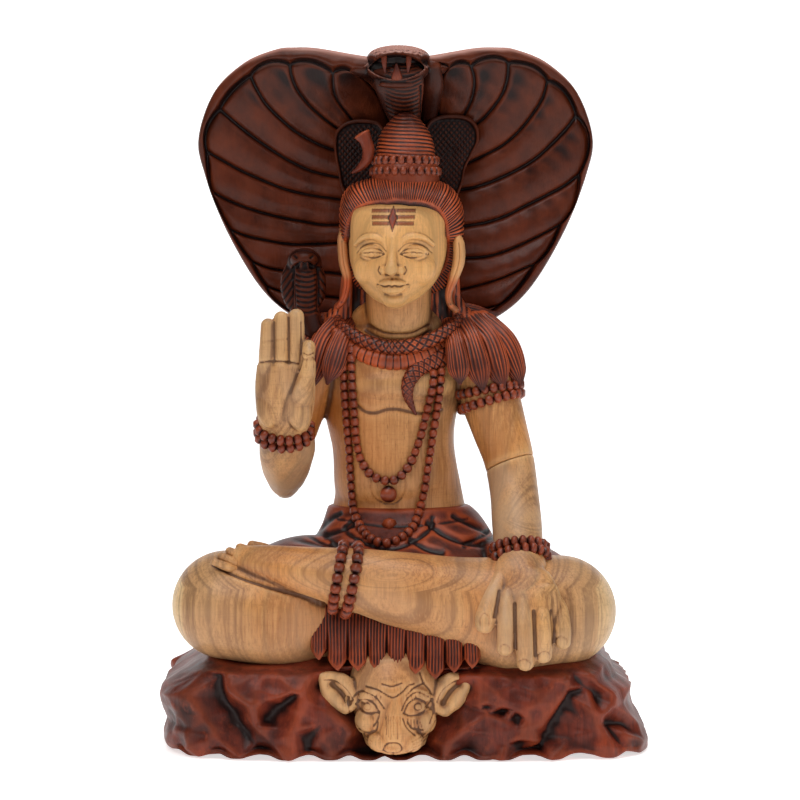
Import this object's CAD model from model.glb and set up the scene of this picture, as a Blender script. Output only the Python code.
# %% [markdown]
# # A seated Shiva carved in wood, under a cobra's hood
# The real object is one block of a log, carved all round, waxed, and stained red-brown on the snake, the
# hair, the cloth, the beads and the rock. Two paler blocks are glued on for the forearms. Each form is
# first blocked out from round primitives, as a carver roughs it out, and its fine cuts are then made by
# moving the mesh's points, because no primitive or modifier gives the cuts of a gouge.

from math import pi, radians, tau

import bpy
import numpy as np
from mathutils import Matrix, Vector


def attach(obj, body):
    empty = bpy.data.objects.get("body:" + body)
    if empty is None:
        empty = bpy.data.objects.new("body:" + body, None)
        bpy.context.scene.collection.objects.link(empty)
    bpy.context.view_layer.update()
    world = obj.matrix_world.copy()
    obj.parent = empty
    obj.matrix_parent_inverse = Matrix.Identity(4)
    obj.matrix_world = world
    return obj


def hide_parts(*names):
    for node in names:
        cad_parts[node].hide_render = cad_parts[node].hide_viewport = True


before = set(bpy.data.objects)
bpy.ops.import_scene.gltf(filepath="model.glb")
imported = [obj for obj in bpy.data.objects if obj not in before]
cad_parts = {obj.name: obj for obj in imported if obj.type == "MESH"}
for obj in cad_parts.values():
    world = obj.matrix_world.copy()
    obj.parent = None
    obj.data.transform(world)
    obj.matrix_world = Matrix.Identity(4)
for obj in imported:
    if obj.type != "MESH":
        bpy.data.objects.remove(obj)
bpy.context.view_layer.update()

# %% [markdown]
# The camera comes first. It looks from the front, 3 metres away and 3 degrees above the level, with a long
# lens, so there is little perspective: the undersides of the knees and the tops of the hands show as in the
# photograph.

# %% Camera
CAMERA_AIM = Vector((-0.0025, 0, 0.354))
CAMERA_PLACE = Vector((-0.0025, -3.0, 0.5112))
LENS_MM = 130.2
camera_data = bpy.data.cameras.new("camera")
camera_data.lens = LENS_MM
camera = bpy.data.objects.new("camera", camera_data)
camera.location = CAMERA_PLACE
camera.rotation_euler = (CAMERA_AIM - CAMERA_PLACE).to_track_quat("-Z", "Y").to_euler()
bpy.context.scene.collection.objects.link(camera)
bpy.context.scene.camera = camera
print("camera", tuple(camera.location))

# %% [markdown]
# The figure is drawn in millimetres above the seat and scaled to its real height, as its solids are. These
# helpers read and write a mesh's points in those drawn millimetres. x runs to the viewer's right, y to the
# back, z up.

# %% Drawn millimetres
DRAWN_TO_MM = 639 / 626
SEAT_MM = 81
UP = np.array([0.0, 0.0, 1.0])
BACK = np.array([0.0, 1.0, 0.0])


def read(piece):
    """A piece's points in drawn millimetres."""
    points = np.empty(len(piece.data.vertices) * 3)
    piece.data.vertices.foreach_get("co", points)
    points = points.reshape(-1, 3) * 1000
    points[:, 2] -= SEAT_MM
    return points / DRAWN_TO_MM


def write(piece, points):
    """Moves a piece's points to these drawn millimetres."""
    real = np.array(points) * DRAWN_TO_MM
    real[:, 2] += SEAT_MM
    piece.data.vertices.foreach_set("co", (real / 1000).ravel())
    piece.data.update()


def normals(piece):
    found = np.empty(len(piece.data.vertices) * 3, np.float32)
    piece.data.vertex_normals.foreach_get("vector", found)
    return found.reshape(-1, 3).astype(float)


def mix(a, b, t):
    return a + (b - a) * t


def step(low, high, value):
    """Rises smoothly from 0 at low to 1 at high."""
    t = np.clip((value - low) / (high - low), 0, 1)
    return t * t * (3 - 2 * t)


def spline(points, t):
    """A smooth curve through the points, at shares t from 0 to 1."""
    points = np.asarray(points, float)
    spans = len(points) - 1
    place = np.clip(t, 0, 1) * spans
    index = np.minimum(place.astype(int), spans - 1)
    f = (place - index)[:, None]
    row = np.vstack((2 * points[0] - points[1], points, 2 * points[-1] - points[-2]))
    a, b, c, d = (row[index + k] for k in range(4))
    return 0.5 * (2 * b + (c - a) * f + (2 * a - 5 * b + 4 * c - d) * f**2 + (3 * b - a - 3 * c + d) * f**3)


def unit(vectors):
    return vectors / np.maximum(np.linalg.norm(vectors, axis=-1, keepdims=True), 1e-9)


def scatter(i, j=0):
    """A fixed scatter of values from 0 to 1."""
    value = np.sin(np.asarray(i) * 127.1 + np.asarray(j) * 311.7) * 43758.5453
    return value - np.floor(value)

# %% [markdown]
# Every form starts as a UV sphere whose rings are set out along the form. A limb is such a sphere drawn out
# through oval sections [x, y, z, a, b], where b lies nearest to the direction deep and a lies across it.

# %% Round forms
def clear_selection():
    bpy.ops.object.select_all(action="DESELECT")


def select_only(*pieces):
    """Selects these pieces alone, the first of them active."""
    clear_selection()
    for piece in pieces:
        piece.select_set(True)
    bpy.context.view_layer.objects.active = pieces[0]


def face_out(piece):
    points = read(piece)
    piece.data.calc_loop_triangles()
    corners = np.empty(len(piece.data.loop_triangles) * 3, np.int32)
    piece.data.loop_triangles.foreach_get("vertices", corners)
    a, b, c = (points[corners[k::3]] for k in range(3))
    if np.einsum("ij,ij->i", a, np.cross(b, c)).sum() < 0:
        piece.data.flip_normals()


def rolled(name, sides, rows, shape):
    """A sphere whose point at the share around (0 to 1) of its ring at the share down (0 to 1) is shape's."""
    clear_selection()
    bpy.ops.mesh.primitive_uv_sphere_add(segments=sides, ring_count=rows, radius=1)
    piece = bpy.context.object
    piece.name = name
    ball = np.empty(len(piece.data.vertices) * 3)
    piece.data.vertices.foreach_get("co", ball)
    ball = ball.reshape(-1, 3)
    around = np.round(np.arctan2(ball[:, 1], ball[:, 0]) / tau * sides) / sides % 1
    down = np.round(np.arccos(np.clip(ball[:, 2], -1, 1)) / pi * rows) / rows
    write(piece, shape(around, down))
    face_out(piece)
    return piece


# %% [markdown]
# A limb is a sphere whose rings are laid along a smooth line, each an oval of its own. A bevelled curve
# would always be round, with flat ends.

# %% Limbs
def limb_frame(sections, t, deep=BACK, level=False):
    sections = np.asarray(sections, float)
    middle = spline(sections[:, :3], t)
    ahead = spline(sections[:, :3], np.minimum(t + 0.01, 1))
    behind = spline(sections[:, :3], np.maximum(t - 0.01, 0))
    along = np.tile(UP, (len(t), 1)) if level else unit(ahead - behind)
    across = unit(np.cross(np.asarray(deep, float), along))
    depth = np.cross(along, across)
    girth = spline(sections[:, [3, -1]], t)
    return middle, along, across, depth, girth[:, 0], girth[:, 1]


def limb(name, sections, sides=40, rows=60, caps=8, bulge=1, flute=None, deep=BACK, level=False):
    """An oval limb through its sections, with round ends."""
    def shape(around, down):
        row = down * rows
        long = rows - 2 * caps
        t = np.clip((row - caps) / long, 0, 1)
        past = np.maximum(np.maximum(caps - row, row - caps - long), 0) / caps * (pi / 2)
        middle, along, across, depth, a, b = limb_frame(sections, t, deep, level)
        tip = np.sin(past) * np.minimum(a, b) * bulge * np.where(row < caps, -1, 1)
        scale = np.cos(past) * (1 if flute is None else flute(around, t))
        turn = tau * around
        return (
            middle
            + along * tip[:, None]
            + across * (a * scale * np.cos(turn))[:, None]
            + depth * (b * scale * np.sin(turn))[:, None]
        )
    return rolled(name, sides, rows, shape)


def turned(points, at, tilt):
    """Turns points about at by three angles in degrees, about x, then y, then z."""
    x, y, z = (radians(angle) for angle in tilt)
    about_x = np.array([[1, 0, 0], [0, np.cos(x), -np.sin(x)], [0, np.sin(x), np.cos(x)]])
    about_y = np.array([[np.cos(y), 0, np.sin(y)], [0, 1, 0], [-np.sin(y), 0, np.cos(y)]])
    about_z = np.array([[np.cos(z), -np.sin(z), 0], [np.sin(z), np.cos(z), 0], [0, 0, 1]])
    at = np.asarray(at, float)
    return (points - at) @ (about_z @ about_y @ about_x).T + at


def ball(name, at, radii, sides=24, rows=16, tilt=(0, 0, 0)):
    """An egg-shaped form."""
    def shape(around, down):
        ring = np.sin(pi * down)
        turn = tau * around
        unit_ball = np.column_stack((ring * np.cos(turn), ring * np.sin(turn), np.cos(pi * down)))
        return turned(unit_ball * np.asarray(radii, float) + np.asarray(at, float), at, tilt)
    return rolled(name, sides, rows, shape)


# %% [markdown]
# Forms that grow out of each other are joined, remeshed and smoothed, which wears the seams as a rasp does.
# A boolean would leave them sharp.

# %% Joining forms
def apply_modifiers(piece):
    select_only(piece)
    for modifier in list(piece.modifiers):
        bpy.ops.object.modifier_apply(modifier=modifier.name)


def blended(name, forms, voxel, rounds=4):
    """One skin over overlapping forms, its seams worn smooth as by a rasp. voxel is in millimetres."""
    select_only(*forms)
    if len(forms) > 1:
        bpy.ops.object.join()
    piece = forms[0]
    piece.name = name
    remesh = piece.modifiers.new("remesh", "REMESH")
    remesh.mode = "VOXEL"
    remesh.voxel_size = voxel / 1000
    soften = piece.modifiers.new("soften", "SMOOTH")
    soften.factor = 0.5
    soften.iterations = rounds
    apply_modifiers(piece)
    face_out(piece)
    return piece


def as_one(name, forms):
    """Joins forms that only rest on each other, such as beads, without changing their meshes."""
    select_only(*forms)
    if len(forms) > 1:
        bpy.ops.object.join()
    forms[0].name = name
    return forms[0]

# %% [markdown]
# Cuts are made along lines: each point is pushed in by how near it lies to the line, which gives a clean V
# or U groove whatever way the mesh runs. A line's points are [x, z] on the front of the figure, or [x, y,
# z].

# %% Cuts
def distance_to_line(points, line, flat=True):
    """The distance from each point to a line of points, seen from the front when flat."""
    columns = [0, 2] if flat else [0, 1, 2]
    where = points[:, columns]
    line = np.asarray(line, float)
    nearest = np.full(len(where), np.inf)
    for start, end in zip(line[:-1], line[1:]):
        span = end - start
        t = np.clip((where - start) @ span / max(span @ span, 1e-9), 0, 1)
        nearest = np.minimum(nearest, np.linalg.norm(where - start - t[:, None] * span, axis=1))
    return nearest


def curve(line, count=40):
    return spline(np.asarray(line, float), np.linspace(0, 1, count))


def push(piece, amount):
    """Moves each point along its normal by an amount in millimetres."""
    write(piece, read(piece) + normals(piece) * np.asarray(amount)[:, None])


def groove(piece, line, width, depth, where=None, count=40, flat=True, smooth_line=True):
    """Cuts a groove along a line, only on points where where is true."""
    points = read(piece)
    path = curve(line, count) if smooth_line else line
    cut = np.exp(-((distance_to_line(points, path, flat) / width) ** 2))
    if where is not None:
        cut = cut * where(points, normals(piece))
    push(piece, -depth * cut)


def in_front(points, facing):
    return step(0.0, -0.25, facing[:, 1])

# %% [markdown]
# Wax and stain gather in the hollows and are rubbed off the ridges. A piece keeps how hollow it is at each
# point as an attribute, from the difference between the mesh and a smoothed copy of it: 0.5 is flat, 1 a
# groove, 0 a ridge.

# %% Hollows
def hollowness(piece, passes, strength):
    count = len(piece.data.vertices)
    pairs = np.empty(len(piece.data.edges) * 2, np.int32)
    piece.data.edges.foreach_get("vertices", pairs)
    first, second = pairs[::2], pairs[1::2]
    degree = np.maximum(np.bincount(pairs, minlength=count), 1)
    points = read(piece)
    soft = points.copy()
    for _ in range(passes):
        total = np.column_stack([
            np.bincount(first, soft[second, axis], count) + np.bincount(second, soft[first, axis], count)
            for axis in range(3)
        ])
        soft = (soft + total / degree[:, None]) / 2
    lift = np.einsum("ij,ij->i", soft - points, normals(piece))
    return np.clip(0.5 + lift * strength, 0, 1)


def keep_value(piece, name, values):
    layer = piece.data.attributes.get(name) or piece.data.attributes.new(name, "FLOAT", "POINT")
    layer.data.foreach_set("value", np.asarray(values, np.float32))

# %% [markdown]
# Natural wood: the log stands upright, so its growth rings are rings about an upright axis, which wanders
# from before the knees to behind the chest. They show as upright bands on the knees, where the pale sapwood
# is the outermost, and as fine upright grain on the face and chest. Noise stretched along the log gives the
# pores, and the hollows are darker with wax.

# %% Materials
LOG_X = -0.01
LOG_Y_LOW = -0.2
LOG_Y_HIGH = 0.06
# The log's colours from its heart to its sapwood, by the share of the way out.
RINGS = [
    (0, (196, 134, 78)), (0.085, (190, 132, 80)), (0.1, (122, 80, 48)), (0.125, (150, 102, 62)),
    (0.15, (196, 140, 86)),
    (0.195, (188, 134, 84)), (0.208, (130, 88, 54)), (0.225, (196, 138, 84)), (0.32, (200, 132, 70)),
    (0.40, (172, 112, 64)), (0.475, (166, 112, 66)),
    (0.49, (138, 96, 58)), (0.51, (200, 138, 78)), (0.60, (186, 136, 86)), (0.612, (124, 84, 50)),
    (0.63, (192, 142, 92)),
    (0.725, (176, 128, 82)), (0.737, (116, 78, 48)), (0.76, (190, 140, 90)), (0.81, (180, 132, 86)),
    (0.822, (122, 82, 50)),
    (0.845, (152, 110, 70)), (0.87, (190, 144, 94)), (0.895, (166, 120, 76)), (0.912, (226, 188, 134)),
    (1, (236, 204, 152)),
]


# %% [markdown]
# A material is built from small steps, so that each of them is a line to read.

# %% Shader nodes
class Nodes:
    """Adds and links shader nodes of one material."""

    def __init__(self, name):
        self.material = bpy.data.materials.new(name)
        self.material.use_nodes = True
        self.tree = self.material.node_tree
        self.shader = self.tree.nodes["Principled BSDF"]

    def add(self, kind, inputs=(), **settings):
        node = self.tree.nodes.new(kind)
        for key, value in settings.items():
            setattr(node, key, value)
        for socket, value in dict(inputs).items():
            if isinstance(value, bpy.types.NodeSocket):
                self.tree.links.new(value, node.inputs[socket])
            else:
                node.inputs[socket].default_value = value
        return node

    def maths(self, operation, a, b=0.0):
        return self.add("ShaderNodeMath", {0: a, 1: b}, operation=operation).outputs[0]

    def stretched(self, scale, place=(0, 0, 0)):
        where = self.add("ShaderNodeTexCoord").outputs["Object"]
        return self.add("ShaderNodeMapping", {"Vector": where, "Scale": scale, "Location": place}).outputs[0]

    def noise(self, vector, scale, detail, roughness):
        inputs = {"Vector": vector, "Scale": scale, "Detail": detail, "Roughness": roughness}
        return self.add("ShaderNodeTexNoise", inputs).outputs["Fac"]

    def ramp(self, value, stops):
        node = self.add("ShaderNodeValToRGB", {"Fac": value})
        points = node.color_ramp.elements
        while len(points) < len(stops):
            points.new(0.5)
        for point, (place, colour) in zip(points, stops):
            point.position = place
            point.color = (*colour, 1)
        return node.outputs["Color"]

    def grey(self, value, low, high, start=0.0, end=1.0):
        node = self.add("ShaderNodeMapRange", {0: value, 1: low, 2: high, 3: start, 4: end})
        return node.outputs[0]

    def blend(self, factor, a, b):
        node = self.add("ShaderNodeMix", data_type="RGBA")
        for index, value in ((0, factor), (6, a), (7, b)):
            if isinstance(value, bpy.types.NodeSocket):
                self.tree.links.new(value, node.inputs[index])
            else:
                node.inputs[index].default_value = (*value, 1) if isinstance(value, tuple) else value
        return node.outputs[2]

    def attribute(self, name):
        return self.add("ShaderNodeAttribute", attribute_name=name).outputs["Fac"]


def linear(red, green, blue):
    """A colour as the eye reads it, 0 to 255, in linear light."""
    tones = (red / 255, green / 255, blue / 255)
    return tuple(((v + 0.055) / 1.055) ** 2.4 if v > 0.04 else v / 12.92 for v in tones)


def darker(colour, share):
    return tuple(v * share for v in colour)


# %% [markdown]
# Bare wood takes its colour from the distance to the log's axis, then from grain, pores, soot and bleached
# places.

# %% Bare wood
def natural_colour(nodes, grey, warm, pale):
    """The colour of bare waxed wood."""
    wobble = nodes.noise(nodes.stretched((1, 1, 0.3)), 6.0, 3.0, 0.55)
    separate = nodes.add("ShaderNodeSeparateXYZ", {0: nodes.stretched((1, 1, 1))})
    x = nodes.maths("SUBTRACT", separate.outputs[0], LOG_X)
    log_y = nodes.grey(separate.outputs[2], 0.17, 0.235, LOG_Y_LOW, LOG_Y_HIGH)
    y = nodes.maths("SUBTRACT", separate.outputs[1], log_y)
    square = nodes.maths("ADD", nodes.maths("MULTIPLY", x, x), nodes.maths("MULTIPLY", y, y))
    radius = nodes.maths("ADD", nodes.maths("SQRT", square), nodes.maths("MULTIPLY", wobble, 0.03))
    log = nodes.ramp(nodes.grey(radius, 0.065, 0.265), [(place, linear(*tone)) for place, tone in RINGS])
    across = nodes.add("ShaderNodeCombineXYZ", {0: nodes.maths("MULTIPLY", radius, 95.0)}).outputs[0]
    ring = nodes.noise(across, 1.0, 4.0, 0.7)
    colour = nodes.blend(nodes.grey(ring, 0.51, 0.62, 0.0, 0.7), log, linear(112, 70, 38))
    colour = nodes.blend(nodes.grey(ring, 0.48, 0.38, 0.0, 0.5), colour, linear(222, 170, 108))
    grain = nodes.noise(nodes.stretched((420, 420, 9)), 1.0, 4.0, 0.6)
    colour = nodes.blend(nodes.grey(grain, 0.5, 0.66, 0.0, 0.5), colour, linear(104, 64, 34))
    colour = nodes.blend(nodes.grey(grain, 0.48, 0.36, 0.0, 0.25), colour, linear(226, 176, 116))
    pores = nodes.noise(nodes.stretched((900, 900, 130)), 1.0, 2.0, 0.5)
    colour = nodes.blend(nodes.grey(pores, 0.6, 0.72, 0.0, 0.5), colour, linear(84, 52, 30))
    planed = nodes.noise(nodes.stretched((70, 70, 520), (2, 6, 4)), 1.0, 3.0, 0.6)
    colour = nodes.blend(nodes.grey(planed, 0.52, 0.68, 0.0, 0.22), colour, linear(110, 70, 40))
    soot = nodes.noise(nodes.stretched((34, 34, 13), (1, 4, 9)), 1.0, 5.0, 0.7)
    colour = nodes.blend(nodes.grey(soot, 0.5, 0.72, 0.0, 0.45), colour, linear(112, 74, 44))
    bleached = nodes.noise(nodes.stretched((9, 9, 6), (3, 1, 2)), 1.0, 3.0, 0.6)
    colour = nodes.blend(nodes.grey(bleached, 0.4, 0.6, 0.0, grey), colour, linear(190, 154, 120))
    warmer = nodes.noise(nodes.stretched((6, 6, 5), (7, 5, 1)), 1.0, 2.0, 0.5)
    colour = nodes.blend(nodes.grey(warmer, 0.38, 0.7, 0.0, warm), colour, linear(196, 116, 46))
    return nodes.blend(pale, colour, linear(240, 190, 122))


# %% [markdown]
# The stain hides the rings: a red-brown in broad patches, streaked and scuffed, darker towards the hood's
# top.

# %% Stained wood
def stained_colour(nodes, dark, shade=0.0):
    """The colour of stained wood: red-brown, with darker and paler patches and fine streaks."""
    shades = [(0.3, (46, 16, 10)), (0.46, (82, 29, 17)), (0.58, (112, 42, 24)), (0.74, (86, 38, 26))]
    patches = nodes.noise(nodes.stretched((13, 13, 10)), 1.0, 5.0, 0.65)
    colour = nodes.ramp(patches, [(place, darker(linear(*tone), dark)) for place, tone in shades])
    streak = nodes.noise(nodes.stretched((170, 170, 14)), 1.0, 4.0, 0.65)
    colour = nodes.blend(nodes.grey(streak, 0.46, 0.68, 0.0, 0.5), colour, darker(linear(36, 12, 8), dark))
    worn = nodes.noise(nodes.stretched((60, 60, 45), (5, 2, 8)), 1.0, 5.0, 0.75)
    colour = nodes.blend(nodes.grey(worn, 0.56, 0.74, 0.0, 0.4), colour, darker(linear(160, 66, 36), dark))
    height = nodes.add("ShaderNodeSeparateXYZ", {0: nodes.stretched((1, 1, 1))}).outputs[2]
    return nodes.blend(nodes.grey(height, 0.48, 0.69, 0.0, shade), colour, linear(24, 10, 8))


# %% [markdown]
# One function makes every wood of the figure. Hollows are darker with wax, ridges are rubbed paler.

# %% Waxed wood
def wood(name, stain, grey=0.25, warm=0.25, pale=0.0, dark=1.0, rub=1.0, roughness=0.42, wax=0.08,
         shine=0.3, shade=0.0, worn=0.0):
    """Waxed wood. stain is 0 for bare, 1 for stained, or the attribute that says where it is stained."""
    nodes = Nodes(name)
    hollow = nodes.attribute("hollow")
    groove_share = nodes.grey(hollow, 0.54, 0.8)
    ridge_share = nodes.grey(hollow, 0.46, 0.2)
    rubbed = nodes.noise(nodes.stretched((35, 35, 30)), 1.0, 3.0, 0.6)
    if stain != 1:
        colour = natural_colour(nodes, grey, warm, pale)
        colour = nodes.blend(nodes.maths("MULTIPLY", groove_share, 0.8), colour, linear(70, 38, 22))
        colour = nodes.blend(nodes.maths("MULTIPLY", ridge_share, 0.3), colour, linear(228, 186, 130))
    if stain != 0:
        deep = stained_colour(nodes, dark, shade)
        lit = nodes.maths("MULTIPLY", ridge_share, nodes.grey(rubbed, 0.3, 0.65, 0.35, 1.0))
        deep = nodes.blend(nodes.maths("MULTIPLY", lit, 0.8 * rub), deep, linear(196, 90, 46))
        rubbed_pale = nodes.maths("MULTIPLY", nodes.attribute("worn"), worn)
        deep = nodes.blend(rubbed_pale, deep, linear(190, 138, 124))
        deep = nodes.blend(nodes.maths("MULTIPLY", groove_share, 0.94), deep, linear(22, 9, 8))
        colour = deep if stain == 1 else nodes.blend(nodes.attribute(stain), colour, deep)
    nodes.tree.links.new(colour, nodes.shader.inputs["Base Color"])
    fine = nodes.noise(nodes.stretched((420, 420, 40)), 1.0, 3.0, 0.6)
    marks = nodes.noise(nodes.stretched((120, 120, 90)), 1.0, 2.0, 0.5)
    height = nodes.maths("ADD", fine, nodes.maths("MULTIPLY", marks, 0.8))
    bump = nodes.add("ShaderNodeBump", {"Height": height, "Strength": 0.45, "Distance": 0.0008})
    nodes.tree.links.new(bump.outputs[0], nodes.shader.inputs["Normal"])
    gloss = nodes.grey(rubbed, 0.3, 0.7, roughness - 0.07, roughness + 0.1)
    nodes.tree.links.new(gloss, nodes.shader.inputs["Roughness"])
    nodes.shader.inputs["Specular IOR Level"].default_value = shine
    nodes.shader.inputs["Coat Weight"].default_value = wax
    nodes.shader.inputs["Coat Roughness"].default_value = 0.28
    return nodes.material


bare_wood = wood("bare_wood", 0, grey=0.35, warm=0.3)
pale_wood = wood("pale_wood", 0, grey=0.8, warm=0.05)
chest_wood = wood("chest_wood", 0, grey=0.05, warm=0.65)
face_wood = wood("face_wood", "stained", grey=0.0, warm=0.4, pale=0.42)
stained_wood = wood("stained_wood", 1, rub=0.7, dark=0.85, shine=0.25)
rock_wood = wood("rock_wood", 1, rub=0.3, dark=1.15, shine=0.22)
hair_wood = wood("hair_wood", 1, rub=1.15, dark=0.7, roughness=0.4, wax=0.1)
hood_wood = wood(
    "hood_wood", 1, rub=0.22, dark=0.3, roughness=0.34, wax=0.05, shine=0.18, shade=0.85, worn=0.85,
)
dark_wood = wood("dark_wood", 1, rub=0.16, dark=0.15, roughness=0.4, wax=0.03, shine=0.12, shade=0.6)
knot_bead_wood = wood("knot_bead_wood", 1, rub=1.0, dark=0.6, roughness=0.34, wax=0.15)
bead_wood = wood("bead_wood", 1, rub=1.0, dark=1.0, roughness=0.33, wax=0.2)
hollow_wood = Nodes("hollow_wood").material
hollow_wood.node_tree.nodes["Principled BSDF"].inputs["Base Color"].default_value = (0.008, 0.004, 0.003, 1)
hollow_wood.node_tree.nodes["Principled BSDF"].inputs["Roughness"].default_value = 0.7
print("materials:", [material.name for material in bpy.data.materials if material.users == 0])

# %% [markdown]
# A finished piece is shaded smooth, keeps its hollows, takes its wood, and stands for the solid it belongs
# to.

# %% Finishing a piece
triangles = {}


def waxed(piece, material, node="figure"):
    """Smooth shading and its wood, for a piece that already keeps its hollows."""
    select_only(piece)
    bpy.ops.object.shade_smooth()
    piece.data.materials.clear()
    piece.data.materials.append(material)
    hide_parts(node)
    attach(piece, "root")
    triangles[piece.name] = len(piece.data.loops) - 2 * len(piece.data.polygons)
    print(piece.name, "has", triangles[piece.name], "triangles")


def finished(piece, material, node="figure", passes=14, strength=0.9, share=1.0):
    """share is how much of the mesh is kept where a coarser one shows the same form."""
    keep_value(piece, "hollow", hollowness(piece, passes, strength))
    if share < 1:
        thinner = piece.modifiers.new("thinner", "DECIMATE")
        thinner.ratio = share
        apply_modifiers(piece)
    waxed(piece, material, node)

# %% [markdown]
# The legs lie crossed, the left shin over the right. Shins and thighs are limbs whose seams are worn into
# each other, and the toes of the left foot are five small limbs laid over the right thigh. The cut where
# the shins meet is made afterwards.

# %% Legs
RIGHT_SHIN = [
    [-176, -60, 66, 54, 58], [-128, -66, 60, 54, 56], [-88, -50, 52, 50, 50], [-40, -34, 46, 42, 42],
    [10, -24, 46, 38, 38],
]
RIGHT_THIGH = [[-35, 45, 62, 58, 60], [-105, 5, 62, 58, 62], [-172, -52, 64, 54, 54]]
LEFT_SHIN = [
    [158, -60, 60, 55, 60], [100, -74, 60, 55.5, 58], [50, -86, 70, 47, 48], [-5, -96, 85, 38, 40],
    [-52, -103, 96, 31, 31], [-95, -100, 103, 25, 25], [-135, -92, 109, 20, 20], [-158, -86, 113, 15, 14],
]
LEFT_THIGH = [[30, 45, 62, 58, 60], [100, 5, 62, 56, 62], [158, -52, 58, 54, 56]]
TOE_TIPS = [[-186.8, 114.9], [-181.3, 119.9], [-172.9, 124.3], [-163, 127.3], [-151.6, 129.3]]
TOE_ROOTS = [[-172, 108.9], [-166, 113.3], [-158.1, 117.8], [-149.3, 121.7], [-138.4, 124.7]]


def toes():
    made = []
    for index, (tip, root) in enumerate(zip(TOE_TIPS, TOE_ROOTS)):
        back = 6 * index
        r = mix(4.4, 5.8, index / 4)
        sections = [
            [root[0] + 12, -92 + back, root[1] - 5, r * 0.8], [root[0], -101 + back, root[1] - 1, r],
            [tip[0] + r * 0.4, -102 + back, tip[1] - r * 0.4, r * 0.85],
        ]
        made.append(limb("toe", sections, 24, 30, 8))
    return made


legs = blended("legs", [
    limb("right_shin", RIGHT_SHIN, 64, 70, 18), limb("right_thigh", RIGHT_THIGH, 64, 60, 18),
    limb("left_shin", LEFT_SHIN, 64, 90, 14), limb("left_thigh", LEFT_THIGH, 64, 60, 18),
], 2.0, 3)
# The knees' undersides are squarer than a round limb's, down to the rock's front edge.
points = read(legs)
below = np.clip((60 - points[:, 2]) / 57, 0, 0.98)
squarer = (1 - below**3.2) ** (1 / 3.2) / np.sqrt(1 - below**2)
ahead = np.minimum(points[:, 1] + 62, 0)
points[:, 1] += ahead * (squarer - 1) * (step(50, 105, points[:, 0]) + step(-50, -100, points[:, 0]))
write(legs, points)
SHIN_LINE = [
    [-187.4, 109.4], [-159.9, 98.5], [-128.4, 88.6], [-100.9, 80.7], [-71.4, 70.8], [-46.8, 61.9],
    [-2.4, 44.1], [27.1, 35.2],
]
groove(legs, SHIN_LINE, 1.5, 2.8, in_front)
finished(legs, bare_wood, passes=20, strength=0.42, share=0.4)
finished(as_one("toes", toes()), bare_wood, passes=4, strength=0.5)

# %% [markdown]
# The trunk, neck and upper arms are one bare form. The chest is two low round forms let into the trunk, cut
# off below by a crisp line. Two folds cross the neck, and a fine line runs round under the pendant.

# %% Trunk, neck and upper arms
TRUNK = [
    [-3, 30, 88, 84, 60], [-4, 26, 162, 67, 50], [-7, 22, 192, 63.5, 53], [-9.5, 20, 223, 62.5, 49],
    [-11.5, 20, 255, 68, 48], [-11, 20, 290, 74, 50], [-8, 22, 322, 70, 44], [-6, 22, 338, 52, 36],
]
NECK = [[-7, 18, 318, 46, 36], [-5, 10, 338, 36, 32], [-4, 4, 356, 33, 32], [-4, 4, 392, 34, 34]]
LEFT_ARM = [
    [60, 22, 322, 30, 30], [82, 16, 300, 33, 33], [90, 10, 268, 30.5, 31], [99, 3, 238, 28, 29],
    [108, -5, 208, 25.5, 27], [113, -16, 176, 24.5, 25], [115, -40, 146, 25, 24], [116, -66, 120, 24.5, 20],
    [118, -92, 104, 25, 15],
]
RIGHT_ARM = [
    [-66, 20, 322, 28, 30], [-86, 15, 298, 31, 31], [-104, 10, 262, 27, 29], [-114, 3, 229, 25, 27],
    [-117, -4, 200, 22, 24],
]
LEFT_SEAM = {"at": [110, -5, 203], "tilt": [-14, -20, 0]}
RIGHT_SEAM = {"at": [-112, 0, 222], "tilt": [35, -10, 0]}
SEAM_GAP = 0.3


# %% [markdown]
# The arms are bisected flat where the paler blocks are glued on, as a saw does it.

# %% Glue seams
def cut_at_seam(piece, seam, above):
    """Cuts a form flat at a glue seam and keeps the part above or below it."""
    normal = turned(np.array([UP]), [0, 0, 0], seam["tilt"])[0]
    sign = 1 if above else -1
    at = np.array(seam["at"]) + normal * sign * SEAM_GAP / 2
    real = at * DRAWN_TO_MM / 1000 + np.array([0, 0, SEAT_MM / 1000])
    select_only(piece)
    bpy.ops.object.mode_set(mode="EDIT")
    bpy.ops.mesh.select_all(action="SELECT")
    bpy.ops.mesh.bisect(
        plane_co=real, plane_no=normal, use_fill=True, clear_inner=above, clear_outer=not above,
    )
    bpy.ops.object.mode_set(mode="OBJECT")
    return piece


# %% [markdown]
# The trunk's lines are cut after it is grown into one skin, because a remesh would blur them.

# %% The trunk's skin and cuts
torso = blended("torso", [
    limb("trunk", TRUNK, 72, 90, 14), limb("neck", NECK, 60, 50, 8),
    ball("chest", [-8, 2, 284], [62, 35, 31], 60, 36),
    cut_at_seam(limb("left_upper_arm", LEFT_ARM[:6], 48, 80, 12), LEFT_SEAM, True),
    cut_at_seam(limb("right_upper_arm", RIGHT_ARM, 48, 80, 12), RIGHT_SEAM, True),
], 1.9, 4)
CHEST_LINE = [
    [-46, 263], [-38, 257], [-28, 255.5], [-16, 259], [-6, 259.5], [4, 257.5], [16, 255], [28, 254.5],
    [40, 258],
]
groove(torso, CHEST_LINE, 2.4, 1.5, in_front)
NECK_X = -4
for z, sag, wide in ((341, 6, 30), (335, 7, 33)):
    fold = [(-1, 3), (-0.5, -0.75 * sag), (0, -sag), (0.5, -0.75 * sag), (1, 3)]
    groove(torso, [[NECK_X + wide * out, z + lift] for out, lift in fold], 1.6, 1.6, in_front)
BELLY_LINE = [[-32, 192], [-32, 178], [-27, 169], [-15, 163], [-4, 166], [2, 176], [3, 190]]
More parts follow.
